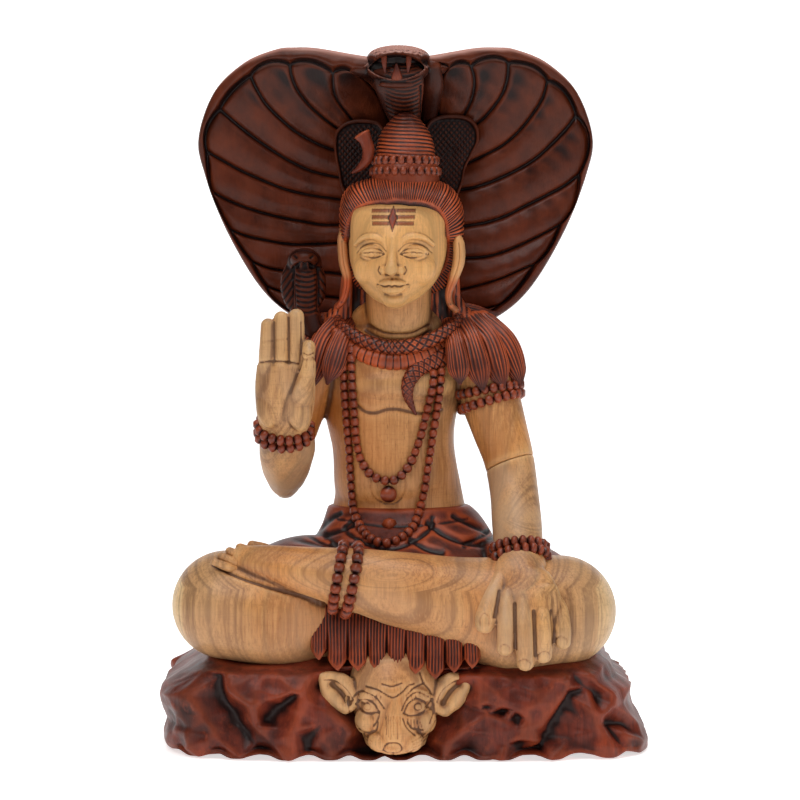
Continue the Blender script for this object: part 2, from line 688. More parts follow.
groove(torso, BELLY_LINE, 0.9, 0.7, in_front)
finished(torso, chest_wood, passes=20, strength=0.5, share=0.4)

# %% [markdown]
# The rock is a low squared-off block with a jagged side. A carver splits off its faces one by one, so its
# relief is given as a sheet of slightly hollow facets between points: [along the side, height, how far it
# stands out]. The points in front lie on the real ridges, clefts and feet of the rock, the others at a
# fixed scatter, plainer.

# %% Rock
from mathutils.geometry import delaunay_2d_cdt

ROCK_FRONT = -133
ROCK_BACK = 150
ROCK_HALF = 245
ROCK_LEFT = [
    [-229, 0], [-237, 0], [-243, 9], [-244, 20], [-241, 31], [-247, 40], [-251, 49], [-250, 60], [-245, 69],
    [-227, 80], [-199, 98],
]
ROCK_RIGHT = [
    [243, 0], [250, 0], [251, 2], [251, 12], [245, 26], [239, 39], [234, 51], [234, 66], [219, 76], [213, 90],
    [198, 100],
]
FRONT_POINTS = [
    [-201, 98, 0], [-172, 96, 1], [-142, 95, 0], [-102, 98, 0], [-222, 86, 2], [-199, 89, 8], [-198, 83, -4],
    [-186, 66, -15], [-175, 48, -17], [-164, 31, -14], [-150, 16, -8], [-203, 72, 6], [-208, 62, 8],
    [-213, 68, 9], [-236, 43, -6], [-242, 62, 3], [-230, 60, 5], [-219, 45, 5], [-216, 26, 7], [-213, 9, 8],
    [-234, 23, 2], [-197, 41, 5], [-188, 23, 3], [-190, 86, 6], [-176, 71, 7], [-164, 63, 8], [-150, 54, 10],
    [-148, 72, 6], [-162, 84, 3], [-146, 34, 3], [-140, 61, 6], [-124, 65, 7], [-108, 70, 9], [-138, 39, -13],
    [-124, 54, -12], [-112, 63, -8], [-101, 68, 10], [-104, 51, 9], [-109, 31, 10], [-112, 9, 12],
    [-126, 33, 0], [-130, 17, 2], [-94, 90, 4], [-84, 72, -14], [-89, 55, 4], [-72, 49, 3], [-60, 38, 1],
    [-53, 28, 3], [-80, 39, 4], [-96, 19, -7], [-82, 23, 5], [-72, 13, 1], [-57, 16, -4], [-62, 62, -24],
    [-50, 82, -26], [-37, 92, -22], [-2, 94, -24], [-2, 62, -34], [-32, 36, -30], [-2, 21, -34],
    [-46, 48, -24], [-36, 21, -24], [29, 94, -22], [33, 62, -26], [29, 35, -22], [21, 19, -24], [33, 19, -6],
    [45, 39, -16], [59, 55, -14], [69, 72, -8], [69, 85, 4], [78, 68, 3], [81, 55, 4], [60, 31, 4],
    [44, 16, 5], [84, 59, 6], [98, 55, 6], [112, 53, 7], [122, 45, 8], [83, 54, -5], [102, 49, -11],
    [119, 43, -7], [85, 48, 4], [102, 41, 5], [115, 33, 5], [92, 27, 4], [105, 17, 3], [117, 19, -4],
    [76, 86, 3], [94, 70, 8], [116, 76, 5], [136, 69, 10], [157, 80, 6], [139, 60, 11], [124, 50, 10],
    [120, 35, 10], [119, 23, 9], [132, 33, 6], [172, 81, 11], [171, 72, 3], [158, 55, 3], [144, 37, 1],
    [137, 19, 3], [161, 49, -16], [150, 34, -17], [143, 20, -14], [172, 64, -14], [182, 41, -8],
    [169, 21, -9], [195, 28, 3], [175, 92, 3], [187, 86, -2], [194, 72, -6], [204, 62, -9], [196, 49, 9],
    [203, 45, 9], [199, 35, 7], [201, 21, 10], [204, 6, 12], [194, 100, 4], [207, 82, 7], [217, 62, 8],
    [216, 54, 9], [229, 55, 3], [210, 33, -9], [227, 31, -8], [238, 31, 5], [219, 24, 6], [214, 13, 4],
    [237, 13, 6], [230, 43, 4], [97, 94, 0], [137, 94, 0], [-228, 4, -3], [-207, 0, 7], [-186, 4, -4],
    [-166, 2, 3], [-144, 7, -12], [-116, 0, 14], [-96, 3, -5], [-72, 2, 3], [-52, 6, -10], [-36, 4, -22],
    [-2, 4, -34], [28, 8, -14], [42, 2, 5], [66, 6, -8], [82, 2, 2], [101, 0, 12], [122, 6, -7],
    [136, 9, -16], [152, 0, 13], [167, 1, 4], [187, 0, 3], [204, 0, 13], [222, 0, 6], [242, 0, 8],
]
FEET = [
    [-242, 1], [-207, 1], [-166, 4], [-116, 0], [-72, 4], [-34, 4], [-2, 4], [42, 3], [82, 4], [101, 0],
    [152, 0], [204, 0], [242, 0],
]
SCATTER_STEP = 34
SCATTER_HEIGHTS = [0, 26, 52, 76, 99]
FACET_HOLLOW = 3.2
SMALLEST_WHOLE_FACET = 1200
ROCK_SQUARENESS = 4.6
ROCK_SIDES = 520
ROCK_ROWS = 84
ROCK_TOP = 97
# The shares of the rows that make the top, and the top with the side.
TOP_ROWS = 0.24
UNDER_ROWS = 0.9


# %% [markdown]
# The side of the rock is split into triangles, each sunk a little in its middle, as a splitting chisel
# leaves it.

# %% Facets
def plan(turn):
    """The rock's outline, as a share of its half-widths."""
    power = ROCK_SQUARENESS
    squared = (np.abs(np.cos(turn)) ** power + np.abs(np.sin(turn)) ** power) ** (-1 / power)
    return squared * np.cos(turn), squared * np.sin(turn)


def facet_relief(run, height, half, front_run):
    """How far the facets stand out at a distance run along the side and a height."""
    known = [(front_run(x), max(z, 0), d) for x, z, d in FRONT_POINTS]
    edge = max(abs(k[0]) for k in known) + 14
    along = edge
    column = 0
    while along < 2 * half - edge:
        for row, z in enumerate(SCATTER_HEIGHTS):
            out = (1 if (column + row) % 2 else -1) * mix(4, 13, scatter(column, row)) - 1
            place = along + 16 * (scatter(row, column + 5) - 0.5)
            high = np.clip(z + 14 * (scatter(column, row + 9) - 0.5), 0, 99)
            known.append((place, high, out if z else abs(out)))
        along += SCATTER_STEP
        column += 1
    known = np.array(known)
    once_round = np.array([2 * half, 0, 0])
    before, after = known[known[:, 0] < 0], known[known[:, 0] > half]
    wrapped = np.vstack((known, before + once_round, after - once_round))
    flat = [Vector((a, b)) for a, b in wrapped[:, :2]]
    points, _, triangles, origins, _, _ = delaunay_2d_cdt(flat, [], [], 0, 1e-4)
    out = np.array([wrapped[origin[0], 2] if origin else 0.0 for origin in origins])
    points = np.array([tuple(point) for point in points])
    height = np.clip(height, 1, 96)
    relief = np.zeros_like(run)
    for corners in triangles:
        a, b, c = (points[k] for k in corners)
        area = (b[0] - a[0]) * (c[1] - a[1]) - (c[0] - a[0]) * (b[1] - a[1])
        if abs(area) < 1e-6:
            continue
        near = np.flatnonzero((np.abs(run - a[0]) < 140) & (height > -1))
        u = ((b[0] - run[near]) * (c[1] - height[near]) - (c[0] - run[near]) * (b[1] - height[near])) / area
        v = ((c[0] - run[near]) * (a[1] - height[near]) - (a[0] - run[near]) * (c[1] - height[near])) / area
        w = 1 - u - v
        inside = (u >= -1e-6) & (v >= -1e-6) & (w >= -1e-6)
        hollow = 27 * u * v * w * FACET_HOLLOW * min(1, abs(area) / SMALLEST_WHOLE_FACET)
        value = u * out[corners[0]] + v * out[corners[1]] + w * out[corners[2]] - hollow
        relief[near[inside]] = value[inside]
    return relief


# %% [markdown]
# The rock is a sphere whose rings are its levels. Its ends follow the outline in the photograph.

# %% The rock's form
def rock_shape(around, down):
    turn = tau * around
    fine = np.linspace(-pi / 2, 3 * pi / 2, 2001)
    outline = np.column_stack(plan(fine)) * [ROCK_HALF, (ROCK_BACK - ROCK_FRONT) / 2]
    lengths = np.concatenate(([0], np.cumsum(np.linalg.norm(np.diff(outline, axis=0), axis=1))))
    half = lengths[-1] / 2
    run = np.interp((turn + pi / 2) % tau - pi / 2, fine, lengths)
    turns_on_front = np.linspace(-pi, 0, 801)
    front_x = plan(turns_on_front)[0] * ROCK_HALF
    on_outline = np.where(turns_on_front < -pi / 2, turns_on_front + tau, turns_on_front)
    front_lengths = np.interp(on_outline, fine, lengths)
    front_lengths = np.where(front_lengths > half, front_lengths - 2 * half, front_lengths)

    def front_run(x):
        return float(np.interp(x, front_x, front_lengths))
    side = np.clip((down - TOP_ROWS) / (UNDER_ROWS - TOP_ROWS), 0, 1)
    z = np.where(down < TOP_ROWS, ROCK_TOP + 3 * (1 - down / TOP_ROWS), ROCK_TOP * (1 - side))
    z = np.where(down > UNDER_ROWS, 0, z)
    share = np.where(down < TOP_ROWS, down / TOP_ROWS, 1.0)
    share = np.where(down > UNDER_ROWS, np.clip((1 - down) / 0.1, 0, 1), share)
    left = np.interp(z, [p[1] for p in ROCK_LEFT], [-p[0] for p in ROCK_LEFT])
    right = np.interp(z, [p[1] for p in ROCK_RIGHT], [p[0] for p in ROCK_RIGHT])
    unit_x, unit_y = plan(turn)
    wide = np.where(unit_x < 0, left, right)
    ends = step(0.55, 1.0, np.abs(unit_x))
    wide = mix(np.interp(z, [0, 20, 75, ROCK_TOP], [238, 244, 240, 226]), wide, ends)
    middle = (ROCK_BACK + ROCK_FRONT) / 2
    depth_share = np.interp(z, [0, 12, 60, 84, ROCK_TOP], [0.975, 0.99, 1, 0.985, 0.9])
    deep = (ROCK_BACK - ROCK_FRONT) / 2 * depth_share
    x, y = unit_x * wide * share, unit_y * deep * share
    relief = facet_relief(np.where(run > half, run - 2 * half, run), z, half, front_run)
    out_x = np.sign(unit_x) * np.abs(unit_x) ** 3.6 / ROCK_HALF
    out_y = np.sign(unit_y) * np.abs(unit_y) ** 3.6 / 141
    out = unit(np.column_stack((out_x, out_y)))
    silhouette = 1 - 0.75 * step(0.93, 1.0, np.abs(unit_x)) * (unit_y < 0.6)
    weight = step(0.9, 1.0, share) * silhouette
    fade_top = step(100, 88, z)
    rough = 0.7 * np.sin(run * 0.19 + z * 0.11) * np.sin(z * 0.23 - run * 0.07)
    shift = (relief * mix(0.45, 1.0, fade_top) + rough) * weight
    foot = np.array([p[0] for p in FEET], float)
    nearest = np.min(np.abs(x[:, None] - foot[None, :]), axis=1)
    arch = np.where(y < 60, step(4, 20, nearest) * 5.5, 3.0 * np.sin(run * 0.09) ** 2)
    lift = arch * step(16, 0, z) * step(0.5, 1.0, share)
    top_lift = np.where(down < 0.26, 2.5 * np.sin(x * 0.05) * np.sin(y * 0.06 + 1), 0)
    worn_edge = 5 * step(-75, -120, y + middle) * step(84, ROCK_TOP, z)
    height = np.maximum(z + lift + top_lift - worn_edge, 0)
    real = np.column_stack((x + out[:, 0] * shift, y + middle + out[:, 1] * shift, height))
    real[:, 2] -= SEAT_MM
    return real / DRAWN_TO_MM


rock = rolled("rock", ROCK_SIDES, ROCK_ROWS, rock_shape)
soften = rock.modifiers.new("soften", "SMOOTH")
soften.factor = 0.5
soften.iterations = 1
apply_modifiers(rock)
finished(rock, rock_wood, passes=22, strength=0.16)

# %% [markdown]
# The tiger's head hangs down the front of the rock, in bare wood: a flat skull and a long muzzle with round
# ears. Its eyes, wrinkles and whiskers are fine lines of a V tool.

# %% Tiger head
TIGER_X = -7


def real_ball(name, at, radii, **settings):
    drawn = np.array([at[0], at[1], at[2] - SEAT_MM]) / DRAWN_TO_MM
    return ball(name, drawn, np.array(radii) / DRAWN_TO_MM, **settings)


def real_limb(name, sections, **settings):
    drawn = np.array(sections, float)
    drawn[:, 2] -= SEAT_MM
    return limb(name, drawn / DRAWN_TO_MM, **settings)


tiger_forms = [
    real_limb("skull", [
        [TIGER_X, -104, 92, 44, 30], [TIGER_X, -109, 70, 47, 34], [TIGER_X, -112, 50, 43, 32],
        [TIGER_X, -116, 32, 36, 29], [TIGER_X, -118, 18, 31, 25],
    ], sides=56, rows=60, caps=10, bulge=0.5),
    real_limb("muzzle", [
        [TIGER_X, -127, 66, 11, 17], [TIGER_X, -132, 44, 15, 15], [TIGER_X + 1, -134, 26, 22, 14],
        [TIGER_X + 2, -133, 14, 20, 12],
    ], sides=40, rows=50, caps=10, bulge=0.6),
]
for side in (-1, 1):
    tiger_forms += [
        real_ball("brow", [TIGER_X + 23 * side, -133, 68], [15, 9, 7], tilt=(0, 22 * side, 0)),
        real_ball("cheek", [TIGER_X + 27 * side, -126, 40], [14, 14, 15]),
        real_ball("jowl", [TIGER_X + 14 * side, -136, 20], [14, 10, 11]),
        real_ball("eye", [TIGER_X + 24 * side, -133, 55], [9, 8, 7]),
    ]
LEFT_EAR = [[-51, 54], [-58, 63], [-68, 73], [-76, 80], [-82, 85]]
RIGHT_EAR = [[36, 51], [43, 62], [52, 72], [61, 79], [66, 84]]
EAR_GIRTH = [[13, 9], [18, 9], [17, 8], [11, 7], [4, 5]]
for line in (LEFT_EAR, RIGHT_EAR):
    places = [[x, -122, z, *girth] for (x, z), girth in zip(line, EAR_GIRTH)]
    tiger_forms.append(real_limb("ear", places, sides=36, rows=40, caps=6, bulge=0.6))
tiger = blended("tiger_head", tiger_forms, 1.4, 4)


def tiger_line(line, width=0.9, depth=1.0):
    groove(tiger, line, width, depth, in_front)


TIGER_PUPILS = [[-34.6, -25], [15.1, -25]]
for line in (
    [[-45.3, -24], [-41.4, -19.1], [-34.6, -18.2], [-27.8, -22.1], [-22.9, -29.9]],
    [[-45.3, -24], [-40.5, -29], [-32.7, -31.9], [-22.9, -29.9]],
    [[-51.2, -24], [-47.3, -16.2], [-39.5, -10.3], [-27.8, -14.2], [-18, -26]],
    [[-23.9, -39.8], [-25.9, -47.6], [-33.7, -51.5], [-43.4, -48.6]],
    [[-22.9, -29.9], [-23.9, -36.8], [-27.8, -43.7]],
    [[-53.1, -18.2], [-52.2, -29.9], [-49.3, -39.8], [-41.5, -48.6]],
    [[1.5, -30.9], [5.3, -22.1], [13.1, -17.2], [20.9, -20.1], [24.8, -26]],
    [[1.5, -30.9], [8.3, -33.9], [18, -31.9], [24.8, -26]],
    [[-0.5, -28], [4.4, -17.2], [14.1, -10.3], [25.8, -15.2]], [[5.4, -39.8], [9.3, -45.6], [19, -48.6]],
    [[0.5, -35.8], [4.4, -44.7], [12.2, -52.5]], [[28.7, -18.2], [30.7, -29.9], [26.8, -41.7]],
    [[-35.6, -5.4], [-23.9, -8.3], [-10.2, -15.2], [-0.5, -10.3], [5.3, -4.4], [11.2, -2.5]],
    [[-20, -2.5], [-10.2, -4.4], [-0.5, -1.5]],
    [[17, 7.4], [20.9, -2.5], [26.8, -10.3], [27.8, -20.1], [21.9, -26]],
    [[20.9, -2.5], [11.2, -6.4], [5.3, -12.3]],
    [
        [-19, -67.3], [-16.1, -61.4], [-10.3, -59.4], [-3.4, -60.4], [-0.5, -66.3], [-5.4, -70.2],
        [-14.2, -70.2], [-19, -67.3],
    ],
    [[-9.3, -70.2], [-9.3, -77.1]], [[-29.8, -67.3], [-20, -74.2], [-9.3, -74.2]],
    [[11.2, -67.3], [1.5, -74.2], [-9.3, -74.2]],
    [[-37.6, -52.5], [-36.6, -65.3], [-27.8, -75.1]], [[32.7, -39.8], [24.9, -55.5], [17.1, -69.2]],
):
    tiger_line(line)
for line in (
    [[-29.8, -58.4], [-41.5, -53.5]],
    [[9.3, -58.4], [22.9, -52.5]],
    [[-30.7, -61.4], [-42.4, -56.9]],
    [[10.2, -61.4], [23.9, -55.9]],
    [[-31.7, -64.3], [-43.4, -60.2]],
    [[11.2, -64.3], [24.9, -59.2]],
    [[-32.7, -67.3], [-44.4, -63.5]],
    [[12.2, -67.3], [25.8, -62.6]],
    [[-16.1, -33.9], [-15.6, -51.5]],
    [[-13.8, -32.9], [-13.5, -53.5]],
    [[-11.4, -33.9], [-11.3, -55.5]],
    [[-9.1, -32.9], [-9.2, -51.5]],
    [[-6.7, -33.9], [-7, -53.5]],
    [[-4.4, -32.9], [-4.9, -55.5]],
    [[-2.1, -33.9], [-2.7, -51.5]],
    [[-41.4, -16.7], [-43.4, -13.2]],
    [[5.3, -18.2], [3.4, -13.2]],
    [[-37.5, -15.7], [-38.9, -12.3]],
    [[9.2, -17.2], [7.9, -12.3]],
    [[-33.6, -14.7], [-34.4, -11.3]],
    [[13.1, -16.2], [12.4, -11.3]],
    [[-29.7, -15.7], [-29.9, -12.3]],
    [[17, -15.2], [16.8, -10.3]],
    [[-25.8, -16.7], [-25.5, -13.2]],
    [[20.9, -16.2], [21.3, -11.3]],
    [[-21.9, -17.7], [-21, -14.2]],
    [[24.8, -17.2], [25.8, -12.3]],
    [[5.4, -35.8], [4.4, -42.7]],
    [[8.3, -36.8], [8.3, -44.2]],
    [[11.2, -37.8], [12.2, -45.6]],
    [[14.1, -38.8], [16.1, -47.1]],
    [[17.1, -39.8], [20, -48.6]],
):
    tiger_line(line, 0.6, 0.55)
for place in TIGER_PUPILS:
    ring = [[place[0] + 3.6 * np.cos(a), place[1] + 3.4 * np.sin(a)] for a in np.linspace(0, tau, 17)]
    groove(tiger, ring, 0.7, 0.8, in_front)
for line in ([[-55.3, -20.2], [-60.2, -13.3], [-68, -5.4]], [[40.6, -22.2], [46.5, -13.3], [54.3, -5.4]]):
    tiger_line(line, 5.5, 8)
for line in (
    [[-76.8, -0.5], [-67.1, -1.5], [-55.3, -9.4], [-48.5, -20.2]],
    [[61.2, -1.5], [51.4, -2.5], [39.7, -10.3], [33.8, -22.2]],
):
    tiger_line(line, 0.8, 0.9)
finished(tiger, bare_wood, passes=10, strength=1.1, share=0.7)

# %% [markdown]
# The tiger's skin ends in a fringe of hair below the shin: a comb of pointed tufts, each round across and
# scored with upright lines. It is a grid given a thickness.

# %% Fringe
# Each tuft: the place of its tip x, z.
TUFTS = [
    [-98, 42], [-84, 19], [-64, 9.2], [-43.7, 9.2], [-24.3, 9.2], [-6.5, 10], [12.9, 7], [32.3, 2], [51, 8],
    [68, 12],
]
FRINGE_LEFT = -105
FRINGE_RIGHT = 77
FRINGE_THICK = 8


def panel(name, columns, rows, shape, thickness):
    """A thin closed panel: a grid whose point at the shares u, v is shape's, given a thickness behind."""
    clear_selection()
    bpy.ops.mesh.primitive_grid_add(x_subdivisions=columns, y_subdivisions=rows, size=1)
    piece = bpy.context.object
    piece.name = name
    flat = np.empty(len(piece.data.vertices) * 3)
    piece.data.vertices.foreach_get("co", flat)
    flat = flat.reshape(-1, 3) + 0.5
    write(piece, shape(np.clip(flat[:, 0], 0, 1), np.clip(flat[:, 1], 0, 1)))
    if normals(piece)[:, 1].mean() > 0:
        piece.data.flip_normals()
    solidify = piece.modifiers.new("thickness", "SOLIDIFY")
    solidify.thickness = thickness * DRAWN_TO_MM / 1000
    solidify.offset = -1
    apply_modifiers(piece)
    return piece


def fringe_shape(u, v):
    x = mix(FRINGE_LEFT, FRINGE_RIGHT, u)
    tips = np.array(TUFTS, float)
    edges = np.concatenate(([FRINGE_LEFT], (tips[:-1, 0] + tips[1:, 0]) / 2, [FRINGE_RIGHT]))
    tuft = np.clip(np.searchsorted(edges, x, side="right") - 1, 0, len(tips) - 1)
    low, high = edges[tuft], edges[tuft + 1]
    f = (x - low) / (high - low)
    off = np.abs(f - 0.5) * 2
    tip = tips[tuft, 1] + 10 * off**1.3
    top = np.interp(x, [-105, -70, 93], [80, 86, 66])
    z = mix(tip, top, v)
    front = np.interp(x, [-105, -90, -60, 10, 93], [-104, -112, -117, -124, -122])
    hang = np.interp(z, [0, 25, 70], [-6.0, 0.0, 16.0])
    gap = np.exp(-(((1 - off) * (high - low) / 2 / 1.6) ** 2)) * step(48, 22, z)
    uneven = 0.55 + 0.45 * np.sin(1.7 * x + 0.03 * z) * np.sin(0.37 * x + 2)
    strands = uneven * np.cos(tau * f * 6 + 0.5 * np.sin(z / 9 + tuft))
    strands = strands * step(tips[tuft, 1] + 4, tips[tuft, 1] + 10, z)
    y = front + hang - 6 * np.sqrt(np.maximum(1 - off**2, 0)) * step(60, 25, z) + 5 * gap + strands
    return np.column_stack((x, y, z))


fringe = panel("fringe", 300, 34, fringe_shape, FRINGE_THICK)
finished(fringe, stained_wood, passes=6, strength=1.1)

# %% [markdown]
# The cloth round the hips is one stained form with a straight belt, and its folds are cut slantwise with a
# gouge. Two low laps of it lie over the thighs.

# %% Hip cloth
CLOTH = [
    [0, 0, 84, 100, 98], [1, 0, 108, 101, 92], [2, 10, 124, 93, 76], [2, 18, 138, 85, 62],
    [0, 24, 149, 79, 57],
    [-3, 26, 157, 73.5, 54],
]
cloth = blended("hip_cloth", [
    limb("wrap", CLOTH, 90, 70, 6, bulge=0.1, level=True),
    ball("right_lap", [-106, -20, 106], [50, 58, 23], 48, 30, (0, -12, 20)),
    ball("left_lap", [122, -20, 100], [54, 52, 25], 48, 30, (0, 14, -20)),
    limb("belt", [[-3, 25, 143, 71, 56], [-4, 25, 152, 70, 53.5]], 72, 20, 5, level=True, bulge=0.08),
], 2.1, 3)
boss = ball("boss", [-13, -36, 144], [8, 7, 6.5], 4, 4)
for line, width, depth in (
    ([[-84, 137], [-72, 148], [-64, 153]], 2.6, 3.2), ([[-77, 132], [-62, 138], [-50, 143]], 2.6, 3.2),
    ([[-120, 131], [-90, 127], [-66, 124], [-44, 129]], 2.4, 2.6),
    ([[26, 146], [40, 136], [60, 128], [80, 124]], 2.8, 3.6),
    ([[52, 151], [66, 144], [76, 139], [86, 134]], 2.6, 3), ([[8, 131], [24, 123], [40, 119]], 2.4, 3),
    ([[-52, 146], [-58, 138], [-40, 128], [-14, 123], [8, 128], [28, 140], [30, 150]], 2.2, 2.2),
    ([[-66, 147], [-30, 143], [-13, 142], [20, 143], [66, 147]], 1.2, 0.9),
    ([[62, 124], [84, 132], [98, 136]], 2, 2.4), ([[-96, 132], [-80, 126], [-60, 121]], 1.6, 1.6),
):
    groove(cloth, line, width, depth, in_front)
cloth = as_one("hip_cloth", [cloth, boss])
finished(cloth, stained_wood, passes=14, strength=0.8, share=0.6)

# %% [markdown]
# The hood is a heart-shaped dish, hollowed from the front, with a thick rounded edge that curls forward
# over the head. Its ribs fan out from the throat and end in round tips inside the edge. Each half is a
# sphere whose rings are set out as slices through the dish: along the front from the root to the edge,
# round it, and back behind. The slices follow the grooves between the ribs and lie closest there, so the
# grooves come out clean.

# %% Hood
HOOD_X = -7
HOOD_RIM = [
    [0, 612], [40, 618], [80, 625], [104, 626], [123, 624], [155, 611], [186, 582], [203, 537], [198, 500],
    [175, 439],
    [138, 378], [98, 346], [50, 330], [0, 328],
]
DISH_DEPTH = 84
HOOD_EDGE = 11
HOOD_MIDDLE = 26
# The grooves from the throat out to the edge, the first beside the throat, on the viewer's right and left.
RIGHT_GROOVES = [
    [[36.6, 559.1], [35.8, 570.7], [37.2, 586.2], [40.5, 597.5], [47.4, 604.6]],
    [[64.2, 559.1], [70, 571.7], [73.2, 584.2], [73.2, 595.5], [69.7, 607.6]],
    [[70.4, 544.6], [83.6, 555.4], [95.6, 569.2], [103.4, 581.9], [107.5, 596.5], [108, 610.9]],
    [
        [68.4, 510.3], [85.8, 518.3], [104.2, 528.3], [119.3, 541.4], [132.2, 556.9], [143.6, 575.3],
        [148.7, 593.2],
    ],
    [
        [60.1, 482.2], [75.6, 485.2], [94.1, 491.3], [116.6, 501.5], [137, 513.7], [155.2, 529.9],
        [170.3, 546.1], [179.1, 558.1],
    ],
    [
        [54.9, 442.7], [68.4, 445.3], [85.9, 448.3], [106.6, 455], [127.1, 465.3], [147.6, 475.6],
        [168, 486.8], [183.1, 498.1],
    ],
    [
        [55, 410.4], [66.3, 411.5], [89.1, 413.5], [109.8, 419.8], [130.4, 429.1], [147.8, 437.9],
        [164.1, 446.7],
    ],
    [[47.7, 377], [60.1, 378.6], [84, 384.4], [104.7, 391.2], [122.2, 399.1], [137.5, 405.3]],
    [[55, 355.1], [70.5, 357.3], [88, 359.6], [101.3, 362.8]],
]
LEFT_GROOVES = [
    [[-11.8, 546.6], [-14.9, 556.4], [-20, 569.1], [-28.1, 583.8], [-38.2, 593.2], [-50.2, 599.5]],
    [[-52.4, 553.9], [-57.4, 560.5], [-64.3, 569.2], [-69.2, 578.7], [-70.9, 589.2], [-71.1, 600.6]],
    [
        [-59.7, 540.4], [-70.9, 547.8], [-83.1, 557.1], [-96.2, 569], [-107.6, 583.8], [-113.4, 598.5],
        [-114.5, 609],
    ],
    [
        [-64.9, 521.7], [-76.2, 525.1], [-90.5, 531], [-110.9, 542.6], [-128.6, 557.6], [-141.1, 571.1],
        [-150.4, 586.5], [-155.6, 598.2],
    ],
    [
        [-59.8, 494.7], [-73.2, 496.6], [-93.8, 501.7], [-114.3, 510.8], [-134.7, 523], [-155, 537.1],
        [-172.1, 550.7], [-188.1, 564.7],
    ],
    [
        [-54.6, 471.8], [-68, 472.8], [-96, 476.9], [-121.7, 483], [-145.3, 492.2], [-167.8, 502.4],
        [-188.1, 513.5], [-202.2, 521.6],
    ],
    [
        [-54.6, 445.8], [-68.1, 445.8], [-85.7, 446.3], [-106.4, 449.9], [-132.2, 455], [-157.9, 462.2],
        [-181.5, 471.5], [-198.8, 480.7],
    ],
    [
        [-54.6, 428.1], [-68.1, 427.1], [-90.9, 426], [-116.8, 426], [-142.6, 430.2], [-163.2, 434.8],
        [-178.5, 440.5],
    ],
    [[-101.6, 396.8], [-117.1, 397.9], [-131.5, 399.5], [-142.7, 402.2], [-155.9, 407.4]],
    [[-96.4, 372.8], [-111.9, 374.5], [-125.1, 376.2], [-140.4, 380.9]],
]
# Where the ribs' round tips reach furthest out, between one groove and the next.
RIGHT_TIPS = [
    [28, 606.4], [58.6, 610.3], [90.3, 615.7], [132.4, 607.5], [166.5, 582.4], [192.6, 532.6], [179.8, 468.1],
    [152.4, 420.8], [119.7, 379.5], [86.8, 351.4],
]
LEFT_TIPS = [
    [-39, 598.3], [-60.4, 603.7], [-93.1, 611.1], [-137.2, 610.9], [-174.3, 583.2], [-201.9, 544.7],
    [-201.4, 499.9], [-189, 458.9], [-167.7, 421.9], [-149.5, 393.9], [-128, 363.8],
]
RIB_PLACES = [
    0, 0.02, 0.045, 0.075, 0.115, 0.17, 0.25, 0.37, 0.5, 0.63, 0.75, 0.83, 0.885, 0.925, 0.955, 0.98,
]
FRONT_ROWS = 84
BAND_ROWS = 16
BEHIND_ROWS = 14
RIB_GROOVE = 4.6
RIB_ROUND = 3.2


# %% [markdown]
# One function lays the slices between the grooves, rounds the ribs and rolls the edge to the back.

# %% Half of the hood
def evenly(line, count):
    """The points of a smooth line at even spaces along it."""
    fine = curve(line, 400)
    along = np.concatenate(([0], np.cumsum(np.linalg.norm(np.diff(fine, axis=0), axis=1))))
    share = np.linspace(0, along[-1], count)
    return np.column_stack([np.interp(share, along, fine[:, k]) for k in range(fine.shape[1])])


def rooted(line, root):
    """A groove's line, carried on inwards to its root without a kink."""
    start, following = np.array(line[0]), np.array(line[1])
    reach = 0.42 * np.linalg.norm(start - root)
    return [root, start + unit(start - following) * reach, *line]


